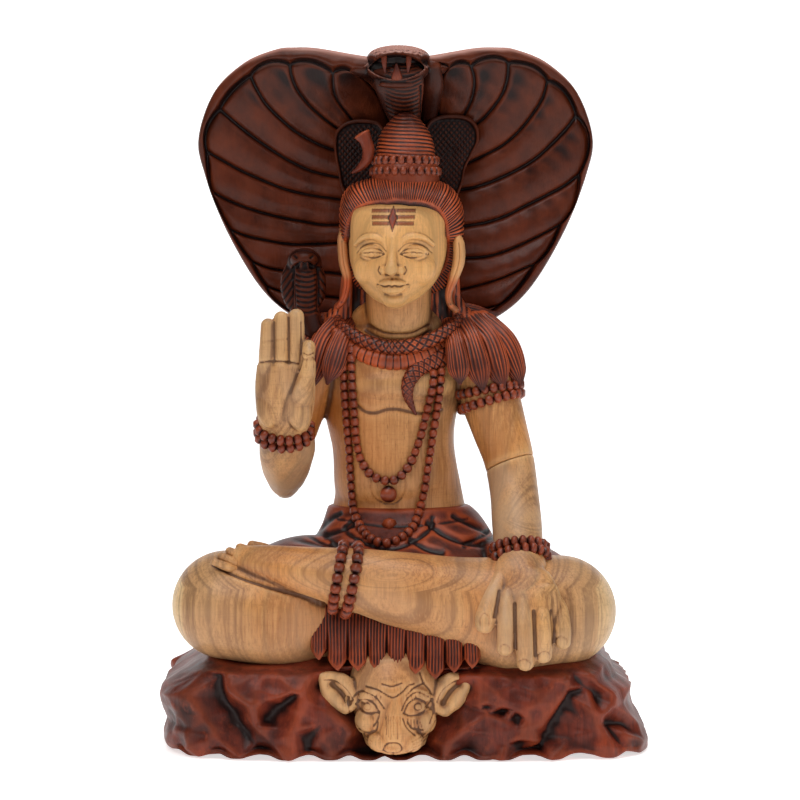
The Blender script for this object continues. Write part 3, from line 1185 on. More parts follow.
def hood_half(name, side, grooves, tips):
    edge = evenly([[HOOD_X + side * x, z] for x, z in HOOD_RIM], 1600)
    root = [[HOOD_X, mix(524, 345, i / (len(grooves) + 1))] for i in range(len(grooves) + 2)]
    lines = [[root[0], [HOOD_X, 590]]]
    lines += [rooted(line, root[i + 1]) for i, line in enumerate(grooves)]
    lines.append([root[-1], [HOOD_X + side * 40, 338], [HOOD_X + side * 80, 341]])
    ribs = [evenly(line, 200) for line in lines]
    lengths = [np.linalg.norm(np.diff(line, axis=0), axis=1).sum() for line in ribs]
    count = len(ribs) - 1
    columns = [(k, f) for k in range(count) for f in RIB_PLACES] + [(count - 1, 1.0)]
    tip_line = []
    for k, f in columns:
        start, end = ribs[k][-1], ribs[k + 1][-1]
        bow = 2 * np.array(tips[k]) - (start + end) / 2
        tip_line.append((1 - f) ** 2 * start + 2 * f * (1 - f) * bow + f * f * end)
    tip_line = np.array(tip_line)
    nearest = np.array([np.argmin(((edge - point) ** 2).sum(axis=1)) for point in tip_line])
    nearest = np.maximum.accumulate(nearest)
    padded = np.pad(nearest, 6, mode="edge")
    nearest = np.round(np.convolve(padded, np.ones(13) / 13, mode="valid")).astype(int)
    outer = edge[nearest]
    share = nearest / len(edge)
    curl = mix(8.0, 64.0, step(0, 0.66, share))
    sides = FRONT_ROWS + BAND_ROWS + BEHIND_ROWS + 2

    def shape(around, down):
        rows = len(columns) - 1 + 2
        column = np.clip(np.round(down * rows).astype(int) - 1, 0, len(columns) - 1)
        pole = (down < 0.5 / rows) | (down > 1 - 0.5 / rows)
        slot = np.round(around * sides).astype(int) % sides
        rib = np.array([columns[i][0] for i in range(len(columns))])[column]
        f = np.array([columns[i][1] for i in range(len(columns))])[column]
        inside = np.clip(slot / FRONT_ROWS, 0, 1)
        inside = inside + 0.25 * inside * (1 - inside)
        behind = np.clip((slot - FRONT_ROWS - BAND_ROWS) / BEHIND_ROWS, 0, 1)
        band = np.clip((slot - FRONT_ROWS) / BAND_ROWS, 0, 1)
        back = slot > FRONT_ROWS + BAND_ROWS
        radius = np.where(back, 1 - behind, inside)
        table = np.array(ribs)
        place = radius * 199
        low = np.minimum(place.astype(int), 198)
        t = (place - low)[:, None]
        first = mix(table[rib, low], table[rib, low + 1], t)
        second = mix(table[rib + 1, low], table[rib + 1, low + 1], t)
        flat = mix(first, second, f[:, None])
        correction = tip_line[column] - mix(table[rib, -1], table[rib + 1, -1], f[:, None])
        flat = flat + correction * radius[:, None] ** 2
        wide = np.linalg.norm(second - first, axis=1)
        long = mix(np.array(lengths)[rib], np.array(lengths)[rib + 1], f)
        dish = mix(DISH_DEPTH, curl[column] + 9, radius**1.8)
        to_side = np.minimum(f, 1 - f) * wide
        beside = rib == 0
        last = rib == count - 1
        to_side = np.where(beside, (1 - f) * wide, np.where(last, f * wide, to_side))
        to_end = np.where(beside, 60.0, (1 - radius) * long)
        near = (np.maximum(to_side, 0.05) ** -3 + np.maximum(to_end, 0.05) ** -3) ** (-1 / 3)
        fade = step(0.12, 0.3, radius)
        ribbed = RIB_GROOVE * np.exp(-((near / 2.1) ** 2)) - RIB_ROUND * (1 - np.exp(-((near / 10) ** 2)))
        uneven = np.sin(flat[:, 0] * 0.21 + flat[:, 1] * 0.13) * np.sin(flat[:, 1] * 0.17 + 1)
        ribbed = ribbed + 0.36 * uneven
        y = dish + ribbed * fade
        rim = outer[column]
        angle = np.clip(band * 1.9 - 0.55, 0, 1.35) / 1.35 * pi
        swell = np.where(band < 0.29, step(0, 0.29, band), 1.0)
        reach = np.where(angle < pi / 2, mix(0.28, 1.0, np.sin(angle)), 1.0 - 0.3 * (1 - np.sin(angle)))
        reach = np.where(band < 0.29, 0.28 * swell, reach)
        rim_y = curl[column] - 1 + HOOD_EDGE * (1 - np.cos(angle)) / 2 * 1.15
        rim_y = np.where(band < 0.29, mix(curl[column] + 9 + RIB_GROOVE, curl[column] - 1, swell), rim_y)
        band_flat = mix(tip_line[column], rim, reach[:, None])
        on_band = (slot > FRONT_ROWS) & ~back
        flat = np.where(on_band[:, None], band_flat, flat)
        y = np.where(on_band, rim_y, y)
        thick = mix(HOOD_MIDDLE, HOOD_EDGE + 2.0, radius)
        back_flat = mix(flat, rim, (0.7 * radius**6)[:, None])
        flat = np.where(back[:, None], back_flat, flat)
        y = np.where(back, mix(DISH_DEPTH, curl[column], radius**1.8) + thick, y)
        root_face = slot == sides - 1
        y = np.where(root_face, DISH_DEPTH + 12, y)
        real = np.column_stack((flat[:, 0], y, flat[:, 1]))
        if pole.any():
            centre_rows = np.where(down[pole] < 0.5, 0, len(columns) - 1)
            middle = [(line[100][0], DISH_DEPTH + 12, line[100][1]) for line in (ribs[0], ribs[-1])]
            real[pole] = [middle[int(c > 0)] for c in centre_rows]
        return real
    return rolled(name, sides, len(columns) + 1, shape)


right_hood = hood_half("right_hood", 1, RIGHT_GROOVES, RIGHT_TIPS)
left_hood = hood_half("left_hood", -1, LEFT_GROOVES, LEFT_TIPS)


# %% [markdown]
# The stain is worn to a dusty pink where the upper edge looks up.

# %% The hood's worn top
def worn_top(piece):
    """Marks the upward faces at the top, where the stain is worn pale."""
    facing_up = step(0.25, 0.8, normals(piece)[:, 2])
    keep_value(piece, "worn", facing_up * step(575, 600, read(piece)[:, 2]))


for half in (right_hood, left_hood):
    worn_top(half)
    finished(half, hood_wood, passes=26, strength=0.42)

# %% [markdown]
# The snake's throat comes down in front of the hood in broad belly scales. Its head leans out over the top
# of the hood with an open mouth: a flat scaly skull, a thin lower jaw, two fangs and a pointed tongue.

# %% Cobra's head and body
def scaly(u, v):
    """A lattice of diamonds: 0 on its lines, 1 in the middle of a scale."""
    a, b = (u + v) % 1, (u - v) % 1
    edge = np.minimum(np.minimum(a, 1 - a), np.minimum(b, 1 - b)) * 2
    return np.minimum(edge * 2.2, 1)


THROAT_BAND = 3.9
throat = limb("throat", [
    [-4, -4, 598, 26, 11], [-3, 2, 584, 25, 13], [0, 22, 566, 20, 14], [4, 50, 546, 15, 16],
    [4, 68, 510, 16, 18],
], 80, 100, 12, deep=UP)
points = read(throat)
bands = np.abs(((points[:, 2] - (points[:, 0] - 1) ** 2 / 60) / THROAT_BAND) % 1 - 0.5) * 2
banded = step(20, 15, np.abs(points[:, 0] - 1)) * in_front(points, normals(throat))
push(throat, -0.9 * (1 - bands) ** 2 * banded)
groove(throat, [[18.9, 584.0], [19.9, 573.9], [19.9, 559.8]], 1.4, 3.0, in_front)
finished(throat, hood_wood, passes=8, strength=0.8)
beside = limb("beside_throat", [
    [27, 16, 606, 13, 9], [30, 24, 588, 12, 9], [29, 42, 571, 10, 8], [27, 60, 555, 8, 6],
], 40, 60, 8, deep=UP)
finished(beside, hood_wood, passes=8, strength=0.5)

# %% [markdown]
# The head is grown from a crown, cheeks, lips and a jaw. The mouth is pushed in, and the scales are cut.

# %% Cobra's head
MOUTH_MIDDLE = [-6, 603.6]
MOUTH_HALF = 28.5
MOUTH_HIGH = 12
skull = blended("cobra_skull", [
    limb("crown", [
        [-4, 54, 606, 34, 18], [-4, 24, 613, 33, 14], [-4, -4, 616, 30, 10.5], [-4, -26, 613.5, 23, 8.5],
    ], 56, 60, 12, deep=UP),
    ball("cheeks", [-4.5, 24, 604], [50, 23, 13], 48, 32), ball("lips", [-4.5, 2, 601], [31, 26, 14], 48, 32),
    limb("jaw", [[-4, 36, 592, 27, 12], [-4, 6, 587, 25, 7.5], [-4, -10, 587, 18, 5]], 48, 50, 10, deep=UP),
], 1.3, 4)
points = read(skull)
lens_x = (points[:, 0] - MOUTH_MIDDLE[0]) / MOUTH_HALF
lens = MOUTH_HIGH * np.maximum(1 - lens_x**2, 0) ** 0.75
gape = step(1.1, 0.86, np.abs(points[:, 2] - MOUTH_MIDDLE[1]) / np.maximum(lens, 0.1)) * (points[:, 1] < 14)
points[:, 1] += (22 - 0.5 * (points[:, 1] + 30)) * gape * (lens > 0.5)
write(skull, points)
points = read(skull)
above = step(0.3, 0.65, normals(skull)[:, 2]) * step(600, 604, points[:, 2])
push(skull, -1.3 * (1 - scaly(points[:, 0] / 6.4, points[:, 1] / 7.5)) * above)
COBRA_EYE = [17.1, 618.1]
for side in (-1, 1):
    eye_x = MOUTH_MIDDLE[0] + side * (COBRA_EYE[0] - MOUTH_MIDDLE[0])
    arch = [[eye_x + 4 * np.cos(a), -24, COBRA_EYE[1] + 2.6 * np.sin(a)] for a in np.linspace(0, tau, 13)]
    groove(skull, arch, 0.9, 1.4, None, 24, False)
    groove(skull, [[-4 + 5 * side, -36, 614], [-4 + 5 * side, -33, 616]], 1.2, 1.4, None, 10, False)
worn_top(skull)
finished(skull, hood_wood, passes=10, strength=0.8, share=0.8)

mouth = ball("mouth", [MOUTH_MIDDLE[0], 4, MOUTH_MIDDLE[1]], [26, 15, 9.5], 32, 20)
finished(mouth, hollow_wood)
FANG_LINE = [[-18.5, 613.4], [-18.1, 605.4], [-17.5, 598.4]]
teeth = []
for side in (-1, 1):
    fang = [[MOUTH_MIDDLE[0] + side * (MOUTH_MIDDLE[0] - x), -19, z] for x, z in FANG_LINE]
    teeth.append(limb("fang", [[*at, girth] for at, girth in zip(fang, (3.0, 2.3, 0.7))], 16, 20, 4))
TONGUE = [[-5, -4, 588, 8, 4], [-5.5, -14, 594, 5.5, 3.5], [-6, -18, 606, 1.2, 1.2]]
tongue = limb("tongue", TONGUE, 20, 24, 4)
teeth = as_one("fangs_and_tongue", [*teeth, tongue])
finished(teeth, stained_wood, passes=4, strength=0.5)

# %% [markdown]
# The photograph doesn't show the body behind the hood, so it is one plain limb with the same scales.

# %% Cobra's body
body = limb("snake_body", [
    [-5, 92, -12, 62, 42], [-5, 88, 120, 56, 40], [-5, 86, 280, 54, 36], [-6, 96, 380, 58, 28],
    [-6, 98, 450, 46, 20],
    [-6, 98, 512, 30, 12],
], 96, 120, 12)
points = read(body)
turn = np.arctan2(points[:, 0] + 5, points[:, 1] - 80)
push(body, -1.5 * (1 - scaly(turn * 3.2, points[:, 2] / 20)) * step(0.1, 0.4, normals(body)[:, 1]))
finished(body, hood_wood, passes=8, strength=1.0)

# %% [markdown]
# Two more lobes of the snake's hood stand behind the topknot like flat ears. Each is a plate with a raised
# border round a sunk field of small diamond scales, made as a sphere whose rings are copies of the outline,
# shrunk to its middle.

# %% Scaled lobes
RIGHT_LOBE = [
    [23.3, 545.4], [28.5, 553.7], [38.8, 558.3], [51.2, 559.3], [63.5, 558.3], [72.8, 553.7], [78.5, 544.4],
    [78.5, 532.1], [71.8, 517.7], [64.6, 502.2], [60.5, 483.7], [51.2, 467.2], [34.7, 465.2], [26.5, 481.7],
    [22.3, 512.5],
]
LEFT_LOBE = [
    [-18.9, 545.4], [-24.1, 551.6], [-35.4, 554.2], [-48.8, 554.2], [-60.2, 550.6], [-68.4, 542.4],
    [-70.5, 531], [-69.5, 516.6], [-66.4, 500.2], [-62.3, 481.7], [-52, 467.2], [-31.4, 465.2], [-19, 481.7],
    [-16.9, 512.5],
]
LOBE_BORDER = 0.87
LOBE_FACE_ROWS = 0.56
LOBE_FRONT = 52
LOBE_THICK = 16


def lobe_outline(outline, share):
    closed = evenly([*outline, outline[0]], 200)
    place = share * 199
    low = np.minimum(place.astype(int), 198)
    return mix(closed[low], closed[low + 1], (place - low)[:, None])


def lobe_shape(outline, front, thick):
    middle = np.mean(np.array(outline), axis=0)

    def shape(around, down):
        behind = (down - LOBE_FACE_ROWS) / (1 - LOBE_FACE_ROWS) * pi / 2
        reach = np.where(down < LOBE_FACE_ROWS, down / LOBE_FACE_ROWS, np.cos(behind))
        flat = middle + (lobe_outline(outline, around) - middle) * reach[:, None]
        scales = 1 - scaly(flat[:, 0] / 5.6, flat[:, 1] / 6.4)
        border = step(LOBE_BORDER - 0.035, LOBE_BORDER + 0.02, reach)
        rim = border * (3.2 * np.sqrt(np.clip(1 - ((reach - 0.94) / 0.075) ** 2, 0, 1)) - 0.6)
        face = front + 2.5 * (1 - reach) + 1.0 * scales * (1 - border) - rim
        y = np.where(down < LOBE_FACE_ROWS, face, front + thick * np.sin(behind))
        return np.column_stack((flat[:, 0], y, flat[:, 1]))
    return shape


for name, outline in (("right_lobe", RIGHT_LOBE), ("left_lobe", LEFT_LOBE)):
    lobe = rolled(name, 140, 70, lobe_shape(outline, LOBE_FRONT, LOBE_THICK))
    finished(lobe, dark_wood, passes=8, strength=0.8)

# %% [markdown]
# A smaller cobra rears over the right shoulder: a domed head over a little open mouth, belly bands down the
# front and a hood whose two sides wrap round them.

# %% Small cobra
SMALL_X = -99.6
small = blended("small_cobra", [
    ball("spread", [SMALL_X - 1, 6, 384], [23.5, 10, 32], 48, 36),
    ball("nape", [SMALL_X, 4, 408], [17.5, 15, 14], 32, 24),
    ball("snout", [SMALL_X, -8, 410], [14, 15, 8.5], 32, 24, (-8, 0, 0)),
    limb("belly", [
        [SMALL_X + 1, -3, 402, 11.5, 9], [SMALL_X + 2, -7, 384, 12, 8], [SMALL_X + 2, -5, 362, 12, 9],
        [SMALL_X + 10, 4, 340, 12, 10], [-70, 14, 330, 11, 10]], 32, 60, 8),
], 1.3, 3)
points = read(small)
front = in_front(points, normals(small))
from_middle = np.abs(points[:, 0] - SMALL_X - 2)
middle = step(12.5, 10, from_middle)
bands = np.abs(((points[:, 2] - 0.025 * from_middle**2) / 5.2) % 1 - 0.5) * 2
banded = middle * front * step(400, 395, points[:, 2]) * step(352, 358, points[:, 2])
push(small, -1.7 * (1 - bands) ** 2 * banded)
outside = step(12.5, 14.5, from_middle) * step(404, 398, points[:, 2])
slanted = np.abs(((points[:, 2] + 1.3 * from_middle) / 9) % 1 - 0.5) * 2
push(small, -1.5 * (1 - slanted) ** 3 * outside * front)
for line, width, depth in (
    ([[-11, 402], [-10.5, 382], [-9, 356]], 1.3, 2.2), ([[14, 402], [14.5, 382], [14, 358]], 1.3, 2.2),
    ([[-7, 403.5], [-3, 405.5], [1, 404], [5, 405.5], [8, 403]], 1.9, 4.5),
    ([[-9, 413.5], [-7.5, 412]], 1.4, 1.6), ([[9, 413.5], [7.5, 412]], 1.4, 1.6),
):
    groove(small, [[SMALL_X + x, z] for x, z in line], width, depth, in_front)
finished(small, dark_wood, passes=7, strength=1.0)

# %% [markdown]
# The face is an ordinary calm one, set out by the usual thirds: hairline to brow, brow to the nose's base,
# and base to chin. Its forms are blocked out first, then the lids, lips and brows are cut. The head is
# turned a little to one side.

# %% Face
FACE_X = -4
CHIN = 361
HAIRLINE = 464
THIRD = (HAIRLINE - CHIN) / 3
BROW = HAIRLINE - THIRD
NOSE_BASE = CHIN + THIRD
EYES = BROW - 12
MOUTH = NOSE_BASE - THIRD / 3
EYE_OUT = 21.5
FACE_TURN = -6


def face_blob(x, y, z, radii, tilt=(0, 0, 0)):
    return ball("form", [FACE_X + x, y, z], radii, 32, 22, tilt)


def at_face(points):
    return [[FACE_X + x, z] for x, z in points]


def lip(half):
    """A lip's sections from its right corner to its left one, from those of one half."""
    sides = [(-1, section) for section in half] + [(1, section) for section in half[-2::-1]]
    return [[FACE_X + side * x, y, MOUTH + z, *girth] for side, (x, y, z, *girth) in sides]


head = blended("face", [
    limb("skull", [
        [-4, -25, 364.5, 10, 11], [-4, -22, 369, 20, 21], [-4, -18, 376, 29, 30], [-4, -13, 386, 38, 40],
        [-4, -9, 398, 44.5, 47], [-4, -5, 414, 49, 51.5], [-4, 0, 436, 50, 55],
        [-4, 2, 462, 47, 46], [-4, 8, 475, 28, 30], [-4, 10, 480, 8, 8],
    ], 72, 110, 16, bulge=0.4, level=True),
    face_blob(0, -37, 373, [15, 12, 11]),
    face_blob(25, -35, 401, [17, 14, 18]), face_blob(-25, -35, 401, [17, 14, 18]),
], 1.5, 4)
points = read(head)
facing = in_front(points, normals(head))
x, z = points[:, 0] - FACE_X, points[:, 2]
sockets = sum(np.exp(-(((x - EYE_OUT * s) / 13) ** 2) - ((z - EYES - 1) / 8.5) ** 2) for s in (-1, 1))
temples = sum(np.exp(-(((x - 44 * s) / 9) ** 2) - ((z - EYES - 6) / 20) ** 2) for s in (-1, 1))
push(head, facing * (-6.2 * sockets - 1.5 * temples))
forms = [head]
forms.append(limb("nose", [
    [FACE_X, -52, BROW + 2, 5.5, 4.5], [FACE_X, -54.5, EYES, 4.2, 5.0],
    [FACE_X, -59, mix(EYES, NOSE_BASE, 0.5), 5.0, 6.4],
    [FACE_X, -62.5, NOSE_BASE + 5.5, 6.6, 7.4], [FACE_X, -61.5, NOSE_BASE + 3.0, 5.6, 5.6],
], 28, 50, 8, bulge=0.6))
for side in (-1, 1):
    forms += [
        face_blob(8.2 * side, -56, NOSE_BASE + 4.2, [4.6, 6.0, 4.4]),
        face_blob(EYE_OUT * side, -42.2, EYES, [13.5, 11.0, 8.2], (0, 0, 12 * side)),
        limb("brow", [
            [FACE_X + 7 * side, -52.5, BROW - 2, 2.6, 2.6], [FACE_X + 18 * side, -52.5, BROW + 3.4, 2.8, 2.8],
            [FACE_X + 30 * side, -46, BROW + 2.6, 2.6, 2.6], [FACE_X + 40 * side, -35, BROW - 4.5, 1.8, 1.8],
        ], 16, 40, 4),
    ]
forms += [
    limb("upper_lip", lip([(15, -49.5, 0.8, 1, 1), (8, -54.5, 2.6, 3, 2.8), (3, -57.4, 3.4, 3.2, 3),
                           (0, -57.2, 2.7, 2.9, 2.9)]), 20, 60, 3),
    limb("lower_lip", lip([(12, -50.5, -1.8, 1.2, 1.2), (6, -54.6, -3.8, 3.4, 3.2),
                           (0, -56.2, -4.4, 3.8, 3.6)]), 20, 50, 3),
]
head = blended("face", forms, 1.15, 3)


# %% [markdown]
# Each line is given from the middle outwards and cut on both sides.

# %% Cuts of the face
def face_line(points, width, depth, smooth_line=True):
    groove(head, at_face(points), width, depth, in_front, smooth_line=smooth_line)


LID_TOP = [[8.5, -1.6], [13, 2.4], [20, 4.6], [27, 3.6], [34.5, -1]]
LID_EDGE = [[8.5, -1.8], [14, -0.6], [21, 0], [28, -0.8], [34.5, -1.8]]
LID_LOW = [[9, -2.2], [15, -5], [22, -6], [29, -4.6], [34, -2.2]]
LID_FOLD = [[6.5, 1], [13, 7.4], [21, 9], [30, 6.4], [38, -0.5]]
LIP_LINE = [[-15.5, 1.3], [-8, -0.5], [-3, 0.1], [0, -0.7], [3, 0.1], [8, -0.5], [15.5, 1.3]]
for side in (-1, 1):
    for lid, width, depth in ((LID_TOP, 0.8, 0.9), (LID_EDGE, 0.75, 1.3), (LID_LOW, 0.75, 0.9)):
        face_line([[a * side, EYES + b] for a, b in lid], width, depth)
    face_line([[x * side, EYES + z] for x, z in LID_FOLD], 0.9, 0.7)
    pupil = [[EYE_OUT + 3.6 * np.cos(a), EYES - 2.8 + 2.6 * np.sin(a)] for a in np.linspace(0, tau, 14)]
    face_line([[x * side, z] for x, z in pupil], 0.5, 0.45)
    face_line([[x * side, NOSE_BASE + z] for x, z in ((13.2, 8), (14.4, 4), (12.2, 0.2))], 0.9, 0.9)
    face_line([[3.4 * side, NOSE_BASE - 0.4], [6.4 * side, NOSE_BASE - 0.7]], 1.3, 1.3)
    face_line([[15.8 * side, MOUTH + 1.8], [16.8 * side, MOUTH + 0.4], [16.2 * side, MOUTH - 1.2]], 1.4, 0.7)
    face_line([[1.8 * side, NOSE_BASE - 3], [2.2 * side, MOUTH + 7]], 0.9, -0.5)
face_line([[x, MOUTH + z] for x, z in LIP_LINE], 0.8, 1.7)
face_line([[-8, MOUTH - 8.6], [0, MOUTH - 10.2], [8, MOUTH - 8.6]], 2.2, 1.3)
# The forehead's mark: three bars, and an upright diamond over their middle.
BAR_ROWS = [[BROW + 29.5 - 6.4 * row, 22 - 0.6 * row] for row in range(3)]
for z, outer in BAR_ROWS:
    for side in (-1, 1):
        inner = 4.6
        corners = ((inner, 2), (outer, 2), (outer, -2), (inner, -2), (inner, 2))
        face_line([[x * side, z + lift] for x, lift in corners], 0.6, 0.6, False)
DIAMOND = [[0, 34], [-4.6, 22], [0, 8.5], [4.6, 22], [0, 34]]
face_line([[x, BROW + z] for x, z in DIAMOND], 0.7, 0.8, False)
points = read(head)
x, z = points[:, 0] - FACE_X, points[:, 2]
bars = np.zeros(len(points))
for middle, outer in BAR_ROWS:
    bar = step(2.1, 1.5, np.abs(z - middle)) * step(outer + 0.5, outer - 0.5, np.abs(x))
    bars = np.maximum(bars, bar)
diamond = np.abs(x) / 4.6 + np.abs(z - BROW - 21.5) / 13
painted = np.maximum(bars * 0.85, step(1.08, 0.92, diamond)) * in_front(points, normals(head))
keep_value(head, "stained", painted)
write(head, turned(read(head), [FACE_X, 5, 0], [0, 0, FACE_TURN]))
finished(head, face_wood, passes=6, strength=0.8, share=0.6)

# %% [markdown]
# The ears are long and thin with drooping lobes. Each is a limb with a hollow cut down its front, stained
# below.

# %% Ears
# Each ear: its shell from the top down to the lobe's tip, and the hollow inside it.
EARS = [
    [[53, 2, 437, 4, 9], [57, 0, 426, 6, 12.5], [57, -2, 408, 6.2, 12], [52, -5, 391, 4.8, 9],
     [47, -8, 377, 3.8, 7], [48, -9, 366, 3.4, 6], [54, -9, 359, 3.2, 5]],
    [[-60, 2, 441, 3.6, 9], [-61, 0, 428, 5, 11], [-59.5, -2, 408, 5.2, 10.5], [-56, -5, 391, 4.4, 8],
     [-57.5, -8, 377, 4, 7], [-61, -9, 368, 3.6, 6], [-65, -8, 363, 3, 5]],
]
ears = []
for sections in EARS:
    shell = limb("ear", sections, 36, 80, 8)
    points = read(shell)
    middle = curve([[place[0], place[2]] for place in sections[1:-1]], 40)
    bowl = np.exp(-((distance_to_line(points, middle) / 2.3) ** 2)) * in_front(points, normals(shell))
    push(shell, -2.6 * bowl)
    ears.append(shell)
ears = as_one("ears", ears)
points = read(ears)
keep_value(ears, "stained", 0.25 + 0.6 * step(398, 384, points[:, 2]) + 0.3 * step(-30, -50, points[:, 0]))
finished(ears, face_wood, passes=8, strength=1.2)

# %% [markdown]
# The hair is combed back from the face in fine strands to a topknot bound by two rows of beads. Above them
# the hair winds up in coils to a round point. A crescent moon is set against the topknot.

# %% Hair
HAIR_MIDDLE = [-1.4, 432]
# The hairline and the hair's own outline, both from one ear over the top to the other, and back behind it.
HAIR_EDGE = [
    [46.8, 428.9], [45.8, 440.9], [43.8, 451], [37.8, 460.5], [27.7, 466.5], [7.6, 468.5], [-16.5, 468.5],
    [-32.6, 467.5], [-46.7, 462.5], [-52.7, 455], [-56.7, 444.9], [-58.8, 429.9], [-50.7, 401.8],
    [-1.4, 377.6], [43.8, 401.8],
]
HAIR_OUTLINE = [
    [61.5, 429], [63, 445.2], [62, 461.4], [56.4, 476.6], [46.3, 486.7], [28, 492.3], [-2.4, 494.3],
    [-34.9, 492.3], [-53.2, 486.2], [-60.8, 476.6], [-63.9, 463.4], [-64.4, 448.2], [-63.9, 430],
    [-61.4, 397.5], [-1.4, 369.1], [58.5, 397.5],
]
STRANDS = 132
STRAND_COLUMNS = 4
HAIR_ROWS = 56
# The shares of the hair's rows that tuck in behind its edge, and that make its front.
TUCKED = 0.06
COMBED = 0.66


def by_angle(outline, turn):
    """How far an outline lies from the hair's middle in each direction."""
    offset = np.array(outline) - HAIR_MIDDLE
    angles = np.arctan2(offset[:, 1], offset[:, 0]) % tau
    order = np.argsort(angles)
    return np.interp(turn % tau, angles[order], np.linalg.norm(offset, axis=1)[order], period=tau)


def hair_shape(around, down):
    strand = np.round(around * STRANDS * STRAND_COLUMNS)
    high = np.sin(tau * around)
    roll = np.clip((down - TUCKED) / (COMBED - TUCKED), 0, 1)
    wander = 0.03 * np.sin(11 * tau * around) + 0.02 * np.sin(23 * tau * around + 2)
    turn = tau * around + (0.2 * np.cos(tau * around) + wander) * roll * step(-0.1, 0.3, high)
    near, far = by_angle(HAIR_EDGE, turn), by_angle(HAIR_OUTLINE, turn)
    offset = HAIR_MIDDLE[0] + near * np.cos(turn) - FACE_X
    skin = 2 - 45 * np.sqrt(np.maximum(1 - (offset / 50) ** 2, 0)) - 0.1 * offset
    front = mix(12.0, np.minimum(skin + 3, -9), step(-0.22, 0.05, high))
    tip = front - 7.5
    arc = roll * pi / 2
    reach = near + (far - near) * np.sin(arc) ** 1.15
    y = 12 - (12 - tip) * np.cos(arc) ** 0.9
    behind = np.clip((down - COMBED) / (1 - COMBED), 0, 1) * pi / 2
    reach = np.where(down > COMBED, far * np.cos(behind), reach)
    y = np.where(down > COMBED, 12 + 44 * np.sin(behind), y)
    inner = np.clip(down / TUCKED, 0, 1)
    reach = np.where(down < TUCKED, (near - 1.5) * inner, reach)
    y = np.where(down < TUCKED, mix(front + 12, tip + 3.5, inner**2), y)
    comb = np.abs(strand % STRAND_COLUMNS / STRAND_COLUMNS - 0.5) * 2
    deep = 0.9 + 1.5 * scatter(strand // STRAND_COLUMNS, 3)
    cut = deep * comb**1.4 * step(0.05, 0.09, down) * step(1.0, 0.85, down)
    reach = reach - cut * np.sin(arc)
    y = y + cut * np.cos(arc) * (down < COMBED)
    return np.column_stack((HAIR_MIDDLE[0] + reach * np.cos(turn), y, HAIR_MIDDLE[1] + reach * np.sin(turn)))


hair = rolled("hair", STRANDS * STRAND_COLUMNS, HAIR_ROWS, hair_shape)
finished(hair, hair_wood, passes=4, strength=1.6)

# %% [markdown]
# The topknot is turned like a skittle and scored by coils that wander a little, as hand-cut lines do.

# %% Topknot and crescent
KNOT_X = 3
KNOT_PROFILE = [
    [34, 478], [35, 486], [34, 500], [32, 510], [30.5, 516], [29.5, 524], [27, 534], [22.5, 543], [16, 551],
    [9, 557], [0, 559.5],
]
COIL_PITCH = 3.9


def knot_shape(around, down):
    turn = tau * around
    profile = spline(KNOT_PROFILE, 1 - down)
    radius, z = np.maximum(profile[:, 0], 0), profile[:, 1]
    radius = np.where(down > 0.9999, 0, radius)
    wind = z + 1.1 * np.sin(turn + 1) + 0.5 * np.sin(3 * turn + 0.06 * z)
    coil = np.abs((wind / COIL_PITCH + around) % 1 - 0.5) * 2
    depth = 0.9 + 0.7 * np.sin(wind * 0.9 + 2 * turn) ** 2
    radius = radius - depth * coil**1.6 * step(505, 508, z) * step(0, 6, radius)
    return np.column_stack((KNOT_X + radius * np.cos(turn), 6 + radius * np.sin(turn), z))


knot = rolled("topknot", 80, 160, knot_shape)
finished(knot, hair_wood, passes=4, strength=1.2)
MOON_LINE = [[-40.8, 536.8], [-36.8, 529.7], [-34.3, 520.7], [-36.3, 510.6], [-42.9, 502.6], [-50.9, 497.5]]
MOON_GIRTH = [[8.5, 6], [6.4, 6.4], [6.2, 7], [5.2, 6], [3.4, 4.5], [1, 1.6]]
moon = limb("crescent", [
    [x, -8, z, wide, deep] for (x, z), (wide, deep) in zip(MOON_LINE, MOON_GIRTH)
], 36, 60, 4, bulge=0.3)
finished(moon, stained_wood, passes=6, strength=0.8)
# %% [markdown]
# Each lock is a limb whose girth is fluted by its strands. They overlap like leaves.

# %% Locks
# The locks that fan out over the shoulders: root, two places on the way, and tip.
LOCKS = [
    [[48, 12, 345, 9, 7], [53, -16, 326, 10, 7], [57, -27, 299, 11, 5.5], [58, -30, 286, 2, 2]],
    [[60, 12, 346, 12, 8], [69, -11, 328, 12, 8], [77, -23, 298, 12.5, 6], [81, -27, 279, 2, 2]],
    [[70, 14, 346, 14, 10], [86, -5, 328, 14, 9], [96, -16, 299, 13, 7], [102, -21, 281, 2, 2]],
    [[78, 20, 344, 16, 12], [100, 4, 325, 15, 10], [113, -5, 300, 11.5, 8], [120, -10, 283, 2, 2]],
    [[84, 32, 341, 16, 13], [104, 22, 323, 15, 12], [116, 14, 300, 11, 9], [121, 8, 286, 3, 3]],
    [[-50, 12, 345, 9, 7], [-60, -12, 329, 12, 8], [-70, -24, 302, 12, 5.5], [-75.5, -28, 286, 2, 2]],
    [[-64, 14, 346, 12, 10], [-79, -4, 328, 13, 9], [-88, -13, 300, 12, 7], [-92, -18, 280, 2, 2]],
    [[-76, 22, 343, 15, 12], [-94, 8, 324, 14, 11], [-102, -2, 300, 12, 8], [-106, -6, 276, 2, 3]],
    [[-82, 34, 339, 16, 13], [-102, 24, 320, 15, 12], [-112, 14, 298, 11, 9], [-116, 8, 276, 3, 3]],
    [[48, 26, 356, 12, 9], [70, 30, 355, 10, 7], [88, 34, 353, 6, 5], [98, 36, 355, 1.6, 2]],
]
locks = []
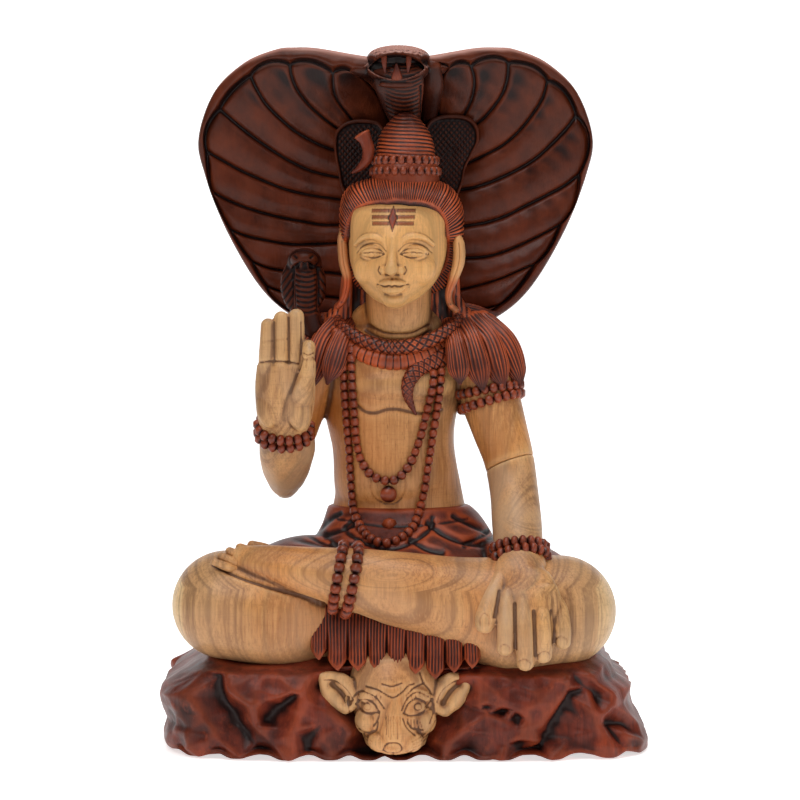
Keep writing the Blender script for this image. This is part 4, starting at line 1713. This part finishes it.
for index, (root, first, second, tip) in enumerate(LOCKS):
    def strands(around, t, index=index):
        wander = 0.25 * np.sin(3 * t + index) + 0.12 * np.sin(7 * tau * around)
        comb = np.abs((around * 20 + wander) % 1 - 0.5) * 2
        return 1 - (0.08 + 0.08 * t) * comb**1.3
    locks.append(limb("lock", [root, first, second, tip], 100, 36, 5, flute=strands))
locks = as_one("locks", locks)
finished(locks, hair_wood, passes=4, strength=1.0)
NAPE = [[-3, 30, 420, 54, 34], [-3, 34, 380, 58, 30], [-3, 34, 350, 70, 30], [-3, 34, 334, 84, 30]]
nape = blended("nape_hair", [
    limb("nape", NAPE, 60, 40, 8),
    limb("right_side", [[50, 16, 395, 8, 12], [54, 16, 366, 9, 12], [62, 18, 345, 18, 14]], 24, 30, 6),
    limb("left_side", [[-54, 16, 395, 8, 12], [-58, 16, 366, 9, 12], [-66, 18, 345, 18, 14]], 24, 30, 6),
], 2.6, 2)
points = read(nape)
push(nape, -1.5 * (np.abs((points[:, 0] / 5.5) % 1 - 0.5) * 2) ** 2)
finished(nape, hair_wood, passes=7, strength=1.0)

# %% [markdown]
# The forearms are two separate paler blocks, glued on at a flat seam. The right hand is raised, palm
# forward, its index finger and thumb touching. Each hand is a palm and five fingers grown into one form,
# its creases and nails cut afterwards.

# %% Right forearm and hand
right_fingers = [
    [[-134, -83, 300, 8.6, 8.2], [-133.5, -87, 318, 8.2, 7.8], [-132.5, -88, 346, 7.2, 6.8]],
    [[-120, -84, 300, 9, 8.4], [-119.6, -88, 322, 8.6, 8], [-119.5, -89, 353, 7.4, 6.8]],
    [[-105, -84, 300, 9, 8.6], [-104.6, -88, 324, 8.6, 8], [-104.6, -88, 355, 7.8, 7.2]],
    [[-96, -80, 296, 8, 8], [-94, -80, 316, 7.4, 7.4], [-92.5, -92, 325, 7.2, 7], [-92, -102, 318, 6.4, 6.4]],
    [[-104, -74, 262, 14, 12], [-98, -90, 284, 10, 9.5], [-93, -99, 299, 8, 7.6], [-91.5, -102, 309, 6.6, 6]],
]
right_hand = blended("right_forearm", [
    limb("forearm", [
        [-119, -3, 173, 9, 9], [-119, -5, 177, 13, 13], [-119, -8, 183, 17, 17], [-118.5, -12, 190, 20.5, 21],
        [-118, -18, 199, 24, 24], [-117, -29, 213, 27, 26], [-115.5, -41, 226, 28, 24.5],
        [-117, -56, 242, 25, 18],
    ], 56, 80, 12, bulge=0.4),
    limb("palm", [
        [-118, -58, 240, 23, 16], [-117, -71, 258, 28, 14.5], [-116, -80, 284, 30, 12],
        [-116, -84, 306, 28, 9],
    ], 56, 60, 10, bulge=0.5),
    ball("heel", [-132, -79, 268], [13, 8, 24]),
    ball("thumb_mount", [-104, -82, 266], [13, 9, 26], tilt=(0, -12, 0)),
    *[limb("finger", sections, 28, 50, 8) for sections in right_fingers],
], 1.45, 3)
for line, width, depth in (
    ([[-140.2, 309.4], [-128.4, 310.3], [-114.6, 309.9], [-101.8, 307.9]], 1.1, 1.5),
    ([[-100.8, 296.1], [-108.7, 284.3], [-114.7, 272.4], [-117.6, 260.6], [-117.7, 251.7]], 2.4, 0.8),
    ([[-126.3, 349.2], [-126, 331.5], [-125.9, 311.8]], 0.9, 0.8),
    ([[-112, 353.1], [-111.6, 331.5], [-111.6, 310.8]], 0.9, 0.8),
    ([[-99.3, 349.2], [-99.3, 331.5], [-100.8, 309.9]], 1, 1.2),
    ([[-137.2, 329.5], [-128.3, 330.5]], 1.2, 0.4), ([[-123.4, 331.5], [-113.6, 332.5]], 1.2, 0.4),
    ([[-97.5, 319.1], [-92.6, 317.1], [-86.7, 319.1]], 0.9, 1.6),
    ([[-94.6, 305.3], [-93.6, 313.2], [-89.7, 315.6], [-86.7, 313.2], [-86.8, 305.3]], 0.6, 0.7),
):
    groove(right_hand, line, width, depth, in_front)
finished(right_hand, pale_wood, "right_forearm", passes=12, strength=0.7, share=0.7)

# %% [markdown]
# The left forearm carries on the upper arm's own line below its seam, down to the hand that hangs over the
# knee.

# %% Left forearm and hand
left_fingers = [
    [
        [101, -104, 100, 12, 11], [88.5, -122, 80, 11.5, 10.5], [81.5, -133, 62, 10.8, 9.5],
        [79.8, -136, 55, 9.4, 8.2],
    ],
    [
        [106, -112, 94, 8, 8], [101.9, -128, 75, 9.2, 9], [101.3, -138, 52, 9.2, 8.8],
        [99.8, -140, 33, 8.2, 7.8],
    ],
    [[116, -114, 94, 8, 8], [118.5, -131, 73, 9.8, 9], [119.2, -140, 46, 9.8, 9], [119.8, -137, 18, 8.8, 8]],
    [
        [127, -109, 91, 8, 8], [136, -129, 71, 9.6, 9], [137.6, -138, 48, 9.6, 8.8],
        [137.4, -134, 25, 8.6, 7.8],
    ],
    [[137, -104, 88, 8, 7], [151.5, -122, 71, 9, 8.6], [155.6, -131, 52, 9, 8.4], [156.4, -132, 38, 8, 7.6]],
]
left_hand = blended("left_forearm", [
    cut_at_seam(limb("forearm", LEFT_ARM[3:], 56, 90, 12), LEFT_SEAM, False),
    limb("palm", [
        [117, -90, 111, 23, 16], [116, -107, 98, 28.5, 15], [120.5, -120, 83, 31.5, 13.5],
        [125, -127, 70, 31.5, 12],
        [127.5, -130, 46, 28, 7.5],
    ], 56, 70, 10, bulge=0.5),
    *[limb("finger", sections, 30, 50, 8) for sections in left_fingers],
], 1.5, 3)
for line, width, depth in (
    ([[94.1, 87.7], [92.2, 76.9], [89.3, 63.1]], 1.5, 1.8),
    ([[109.3, 75.9], [109.3, 54.3], [109.9, 31.7]], 1.4, 1.6),
    ([[127.4, 69], [128.4, 47.4], [129.4, 25.8]], 1.4, 1.6),
    ([[144.4, 69], [145.9, 54.3], [147, 35.7]], 1.4, 1.6),
    ([[75.4, 55.6], [75.4, 62.5], [79.2, 67.3], [84.1, 63.4], [84.1, 55.6]], 0.7, 0.7),
    ([[94.9, 29.2], [94.9, 35.1], [98.8, 37.5], [103.6, 35.1], [103.6, 30.2]], 0.7, 0.7),
    ([[112.4, 14.5], [112.4, 19.4], [118.2, 22.8], [124.1, 19.4], [124.1, 14.5]], 0.7, 0.7),
    ([[131.9, 21.4], [131.9, 26.3], [137.7, 30.2], [143.5, 27.2], [143.6, 22.3]], 0.7, 0.7),
    ([[149.4, 35.1], [149.3, 40.9], [154.2, 44.4], [160, 40.9], [160.1, 36]], 0.7, 0.7),
):
    groove(left_hand, line, width, depth, in_front)
finished(left_hand, pale_wood, "left_forearm", passes=12, strength=0.7, share=0.7)

# %% [markdown]
# Strings of round beads: two garlands down the chest with a pendant bead, an armlet, two bracelets and an
# anklet. Each bead is its own small ball, darker where it touches the next one. Where a string lies on the
# body, a ray from the front finds the surface.

# %% Beads
BEAD = 5


def front_of(pieces, x, z):
    """How far forward the pieces' surface comes at x, z, in drawn millimetres."""
    start = Vector((x * DRAWN_TO_MM / 1000, -0.5, (z * DRAWN_TO_MM + SEAT_MM) / 1000))
    hits = [piece.ray_cast(start, Vector((0, 1, 0))) for piece in pieces]
    return min(hit[1].y for hit in hits if hit[0]) * 1000 / DRAWN_TO_MM


def laid_on(pieces, line, lift, count=60):
    return np.array([[x, front_of(pieces, x, z) - lift, z] for x, z in evenly(line, count)])


def bead(at, ahead, radii, sides=10, rows=7):
    """A bead at a place, its string running ahead. radii are along the string, across it, and out."""
    ahead = unit(np.asarray(ahead, float))
    across = unit(np.cross(ahead, UP if abs(ahead[2]) < 0.9 else BACK))
    out = np.cross(ahead, across)

    def shape(around, down):
        ring = np.sin(pi * down)
        x, y, z = ring * np.cos(tau * around), ring * np.sin(tau * around), np.cos(pi * down)
        return (
            np.asarray(at)
            + np.outer(z * radii[0], ahead) + np.outer(x * radii[1], across) + np.outer(y * radii[2], out)
        )
    piece = rolled("bead", sides, rows, shape)
    points = read(piece) - at
    at_ends = step(0.55, 1.0, np.abs(points @ ahead) / radii[0])
    behind = step(0.0, 0.8, points[:, 1] / max(radii))
    keep_value(piece, "hollow", 0.32 + 0.5 * at_ends + 0.25 * behind)
    return piece


def bead_string(path, radius, long=1.0):
    """Beads set touching along a path of points."""
    path = np.asarray(path, float)
    lengths = np.concatenate(([0], np.cumsum(np.linalg.norm(np.diff(path, axis=0), axis=1))))
    count = int(round(lengths[-1] / (2 * radius * long * 0.93)))
    places = (np.arange(count) + 0.5) / count * lengths[-1]
    at = np.column_stack([np.interp(places, lengths, path[:, k]) for k in range(3)])
    next_to = np.column_stack([np.interp(places + 1, lengths, path[:, k]) for k in range(3)])
    last = np.column_stack([np.interp(places - 1, lengths, path[:, k]) for k in range(3)])
    ahead = next_to - last
    made = []
    for index in range(count):
        size = radius * (1 + 0.07 * (scatter(index, 7) - 0.5))
        made.append(bead(at[index], ahead[index], [size * long, size, size]))
    return made


INNER = [
    [-51.7, 323.5], [-51, 293.3], [-49.7, 269.1], [-48.2, 249], [-46.8, 228.8], [-43.2, 211.6],
    [-37.7, 200.5], [-29.7, 191.9], [-15, 187.4], [-5, 189.9], [3.6, 198.5], [9.6, 208.6], [13.7, 218.7],
    [18.2, 231.8], [22.7, 249], [26.2, 264.1], [29.7, 279.2], [31.7, 299.3],
]
OUTER = [
    [-58.2, 323.5], [-59.3, 293.3], [-57.8, 264.1], [-55.8, 238.9], [-53.8, 213.7], [-51.8, 178.3],
    [-49.8, 158.1], [-42.8, 141.9], [-32.7, 131.8], [-20.6, 127.7], [-7.5, 129.7], [6.6, 137.8], [13.7, 148],
    [18.7, 163.1], [22.7, 180.3], [25.3, 198.5], [27.8, 213.7], [31.8, 238.9], [35.8, 264.1], [38.8, 289.3],
    [39.8, 301.3],
]
chest_pieces = [torso, cloth]
garlands = []
for line in (INNER, OUTER):
    garlands += bead_string(laid_on(chest_pieces, line, BEAD * 0.75), BEAD)
garlands.append(bead([-14, front_of(chest_pieces, -14, 174) - 4, 174], [0, 0, 1], [8.5, 8.5, 6.5], 28, 18))
garlands = as_one("garlands", garlands)
waxed(garlands, bead_wood)


# %% [markdown]
# A band of beads takes the limb's own oval, a little larger, so it lies on the wood.

# %% Bracelets, armlet and anklet
def ring_round(sections, t, deep=BACK, grow=1.0, count=120, slope=0.0):
    middle, along, across, depth, a, b = limb_frame(sections, np.array([t, t]), deep)
    turn = np.linspace(0, tau, count)
    return (
        middle[0]
        + np.outer(np.cos(turn) * (a[0] + grow), across[0])
        + np.outer(np.sin(turn) * (b[0] + grow), depth[0])
        + np.outer(np.sin(turn) * slope, along[0])
    )


def band(name, sections, places, radius, long=1.0, node="figure", grow=1.5, slope=0.0):
    made = []
    for t in places:
        made += bead_string(ring_round(sections, t, grow=grow, slope=slope), radius, long)
    waxed(as_one(name, made), bead_wood, node)


band("armlet", LEFT_ARM, [0.215, 0.26], 5.5, 0.86, slope=-3)
band("anklet", LEFT_SHIN, [0.565, 0.607], 6.6, 0.84, grow=2.0)
band("left_bracelet", LEFT_ARM, [0.87, 0.925], 6.4, 0.66, "left_forearm", grow=2.0, slope=-9)
WRIST = [[-118, -40, 224, 26, 23.5], [-118, -56, 241, 24, 18], [-117, -66, 252, 26, 16]]
band("right_bracelet", WRIST, [0.38, 0.62], 5.8, 0.8, "right_forearm", grow=2.0)
knot_beads = []
for z, reach in ((510, 30.5), (499, 32.5)):
    turn = np.linspace(0, tau, 120)
    ring = np.column_stack((KNOT_X + reach * np.cos(turn), 6 + reach * np.sin(turn), np.full(120, z)))
    knot_beads += bead_string(ring, 5.4, 0.8)
waxed(as_one("knot_beads", knot_beads), knot_bead_wood)

# %% [markdown]
# A snake lies round the neck as a scaly collar, with a ribbed band under it, and its tail winds down over
# the chest.

# %% Neck snake
def scaled_limb(name, sections, sides, rows, caps, turns, length, depth, deep=BACK):
    def scales(around, t):
        return 1 - depth * (1 - scaly(around * turns, t * length))
    return limb(name, sections, sides, rows, caps, flute=scales, deep=deep)


COLLAR_LINE = [
    [-66.8, 350.6], [-61.8, 343.5], [-52.7, 337], [-38.7, 328.4], [-17.5, 322.9], [-2.4, 322.4],
    [19.7, 325.9], [39.8, 335], [50.8, 342.5], [57.9, 351.6],
]
COLLAR_BACK = [10, -4, -14, -22, -29, -30, -26, -16, -6, 8]
COLLAR_GIRTH = [5.5, 6, 6.4, 7.2, 7.8, 7.8, 7.6, 7, 6.2, 5.5]
collar = scaled_limb("collar", [
    [x, y, z, girth] for (x, z), y, girth in zip(COLLAR_LINE, COLLAR_BACK, COLLAR_GIRTH)
], 60, 170, 6, 5, 24, 0.1)
finished(collar, hair_wood, passes=5, strength=1.2)


def ribs(around, t):
    return 1 - 0.2 * (np.abs((t * 20) % 1 - 0.5) * 2) ** 7


BAND_LINE = [
    [-68.8, 338.5], [-57.8, 325.4], [-44.7, 316.9], [-31.6, 311.8], [-14.5, 308.3], [1.6, 308.3],
    [18.7, 312.8], [37.8, 321.4], [54.9, 331.5],
]
BAND_GIRTH = [5, 6.5, 7.6, 8.6, 9.2, 9.2, 8.4, 7.5, 6.5]
band_path = laid_on([torso], BAND_LINE, 0.5, 9)
ribbed = limb("ribbed_band", [[*p, g, 6.2] for p, g in zip(band_path, BAND_GIRTH)], 28, 200, 6, flute=ribs)
finished(ribbed, hair_wood, passes=6, strength=1.0)
TAIL_LINE = [
    [57.8, 315.6], [44.7, 312.6], [31.7, 308], [18.6, 302], [9.6, 293.5], [5.1, 282.4], [6.6, 269.3],
    [13.6, 254.2],
]
TAIL_GIRTH = [11.5, 11, 10, 9, 8.4, 8, 7, 5.4, 3.4, 1.2]
tail_path = laid_on([torso], TAIL_LINE, 1.5, 10)
tail = scaled_limb("tail", [[*p, g, g * 0.7] for p, g in zip(tail_path, TAIL_GIRTH)], 66, 150, 6, 5, 15, 0.12)
finished(tail, hair_wood, passes=5, strength=1.2)

# %% [markdown]
# The stage: a white sweep that runs up behind the figure, and soft light from above and both sides, so that
# the cuts in the dark hood still read.

# %% Stage and light
def sweep():
    clear_selection()
    bpy.ops.mesh.primitive_grid_add(x_subdivisions=2, y_subdivisions=60, size=1)
    floor = bpy.context.object
    floor.name = "floor"
    points = np.empty(len(floor.data.vertices) * 3)
    floor.data.vertices.foreach_get("co", points)
    points = points.reshape(-1, 3)
    along = (points[:, 1] + 0.5) * 9 - 4
    bend = np.clip((along - 2.2) / 1.6, 0, 1) * (pi / 2)
    radius = 1.6 / (pi / 2)
    beyond = np.maximum(along - 3.8, 0)
    points[:, 0] *= 10
    points[:, 1] = np.minimum(along, 2.2) + radius * np.sin(bend)
    points[:, 2] = radius * (1 - np.cos(bend)) + beyond - 0.0005
    floor.data.vertices.foreach_set("co", points.ravel())
    floor.data.update()
    bpy.ops.object.shade_smooth()
    paper = Nodes("white_paper")
    paper.shader.inputs["Base Color"].default_value = (0.93, 0.93, 0.93, 1)
    paper.shader.inputs["Roughness"].default_value = 0.9
    paper.shader.inputs["Emission Color"].default_value = (1, 1, 1, 1)
    paper.shader.inputs["Emission Strength"].default_value = 0.62
    floor.data.materials.append(paper.material)
    return floor


# %% [markdown]
# Three large soft lights: one from the upper left, a weak one from the right and one from above.

# %% Lights
def softbox(name, place, aim, size, watts):
    light_data = bpy.data.lights.new(name, "AREA")
    light_data.shape = "RECTANGLE"
    light_data.size, light_data.size_y = size
    light_data.energy = watts
    light = bpy.data.objects.new(name, light_data)
    light.location = place
    light.rotation_euler = (Vector(aim) - Vector(place)).to_track_quat("-Z", "Y").to_euler()
    bpy.context.scene.collection.objects.link(light)
    return light


sweep()
softbox("key", (-0.9, -2.4, 2.5), (0, 0, 0.35), (1.5, 1.5), 36)
softbox("fill", (2.2, -1.7, 1.1), (0, 0, 0.35), (1.4, 1.6), 10)
softbox("top", (0.1, -0.2, 2.7), (0, 0, 0.3), (1.6, 1.6), 33)
world = bpy.data.worlds.new("studio")
world.use_nodes = True
world.node_tree.nodes["Background"].inputs[0].default_value = (1, 1, 1, 1)
world.node_tree.nodes["Background"].inputs[1].default_value = 0.16
bpy.context.scene.world = world
bpy.context.scene.view_settings.view_transform = "Standard"

# %% [markdown]
# Last, the triangles are counted, and the boxes of the solids and of the finished figure are kept, so that
# their sizes can be compared.

# %% Sizes
print(sum(triangles.values()), "triangles in all, at most", max(triangles.values()), "a piece")
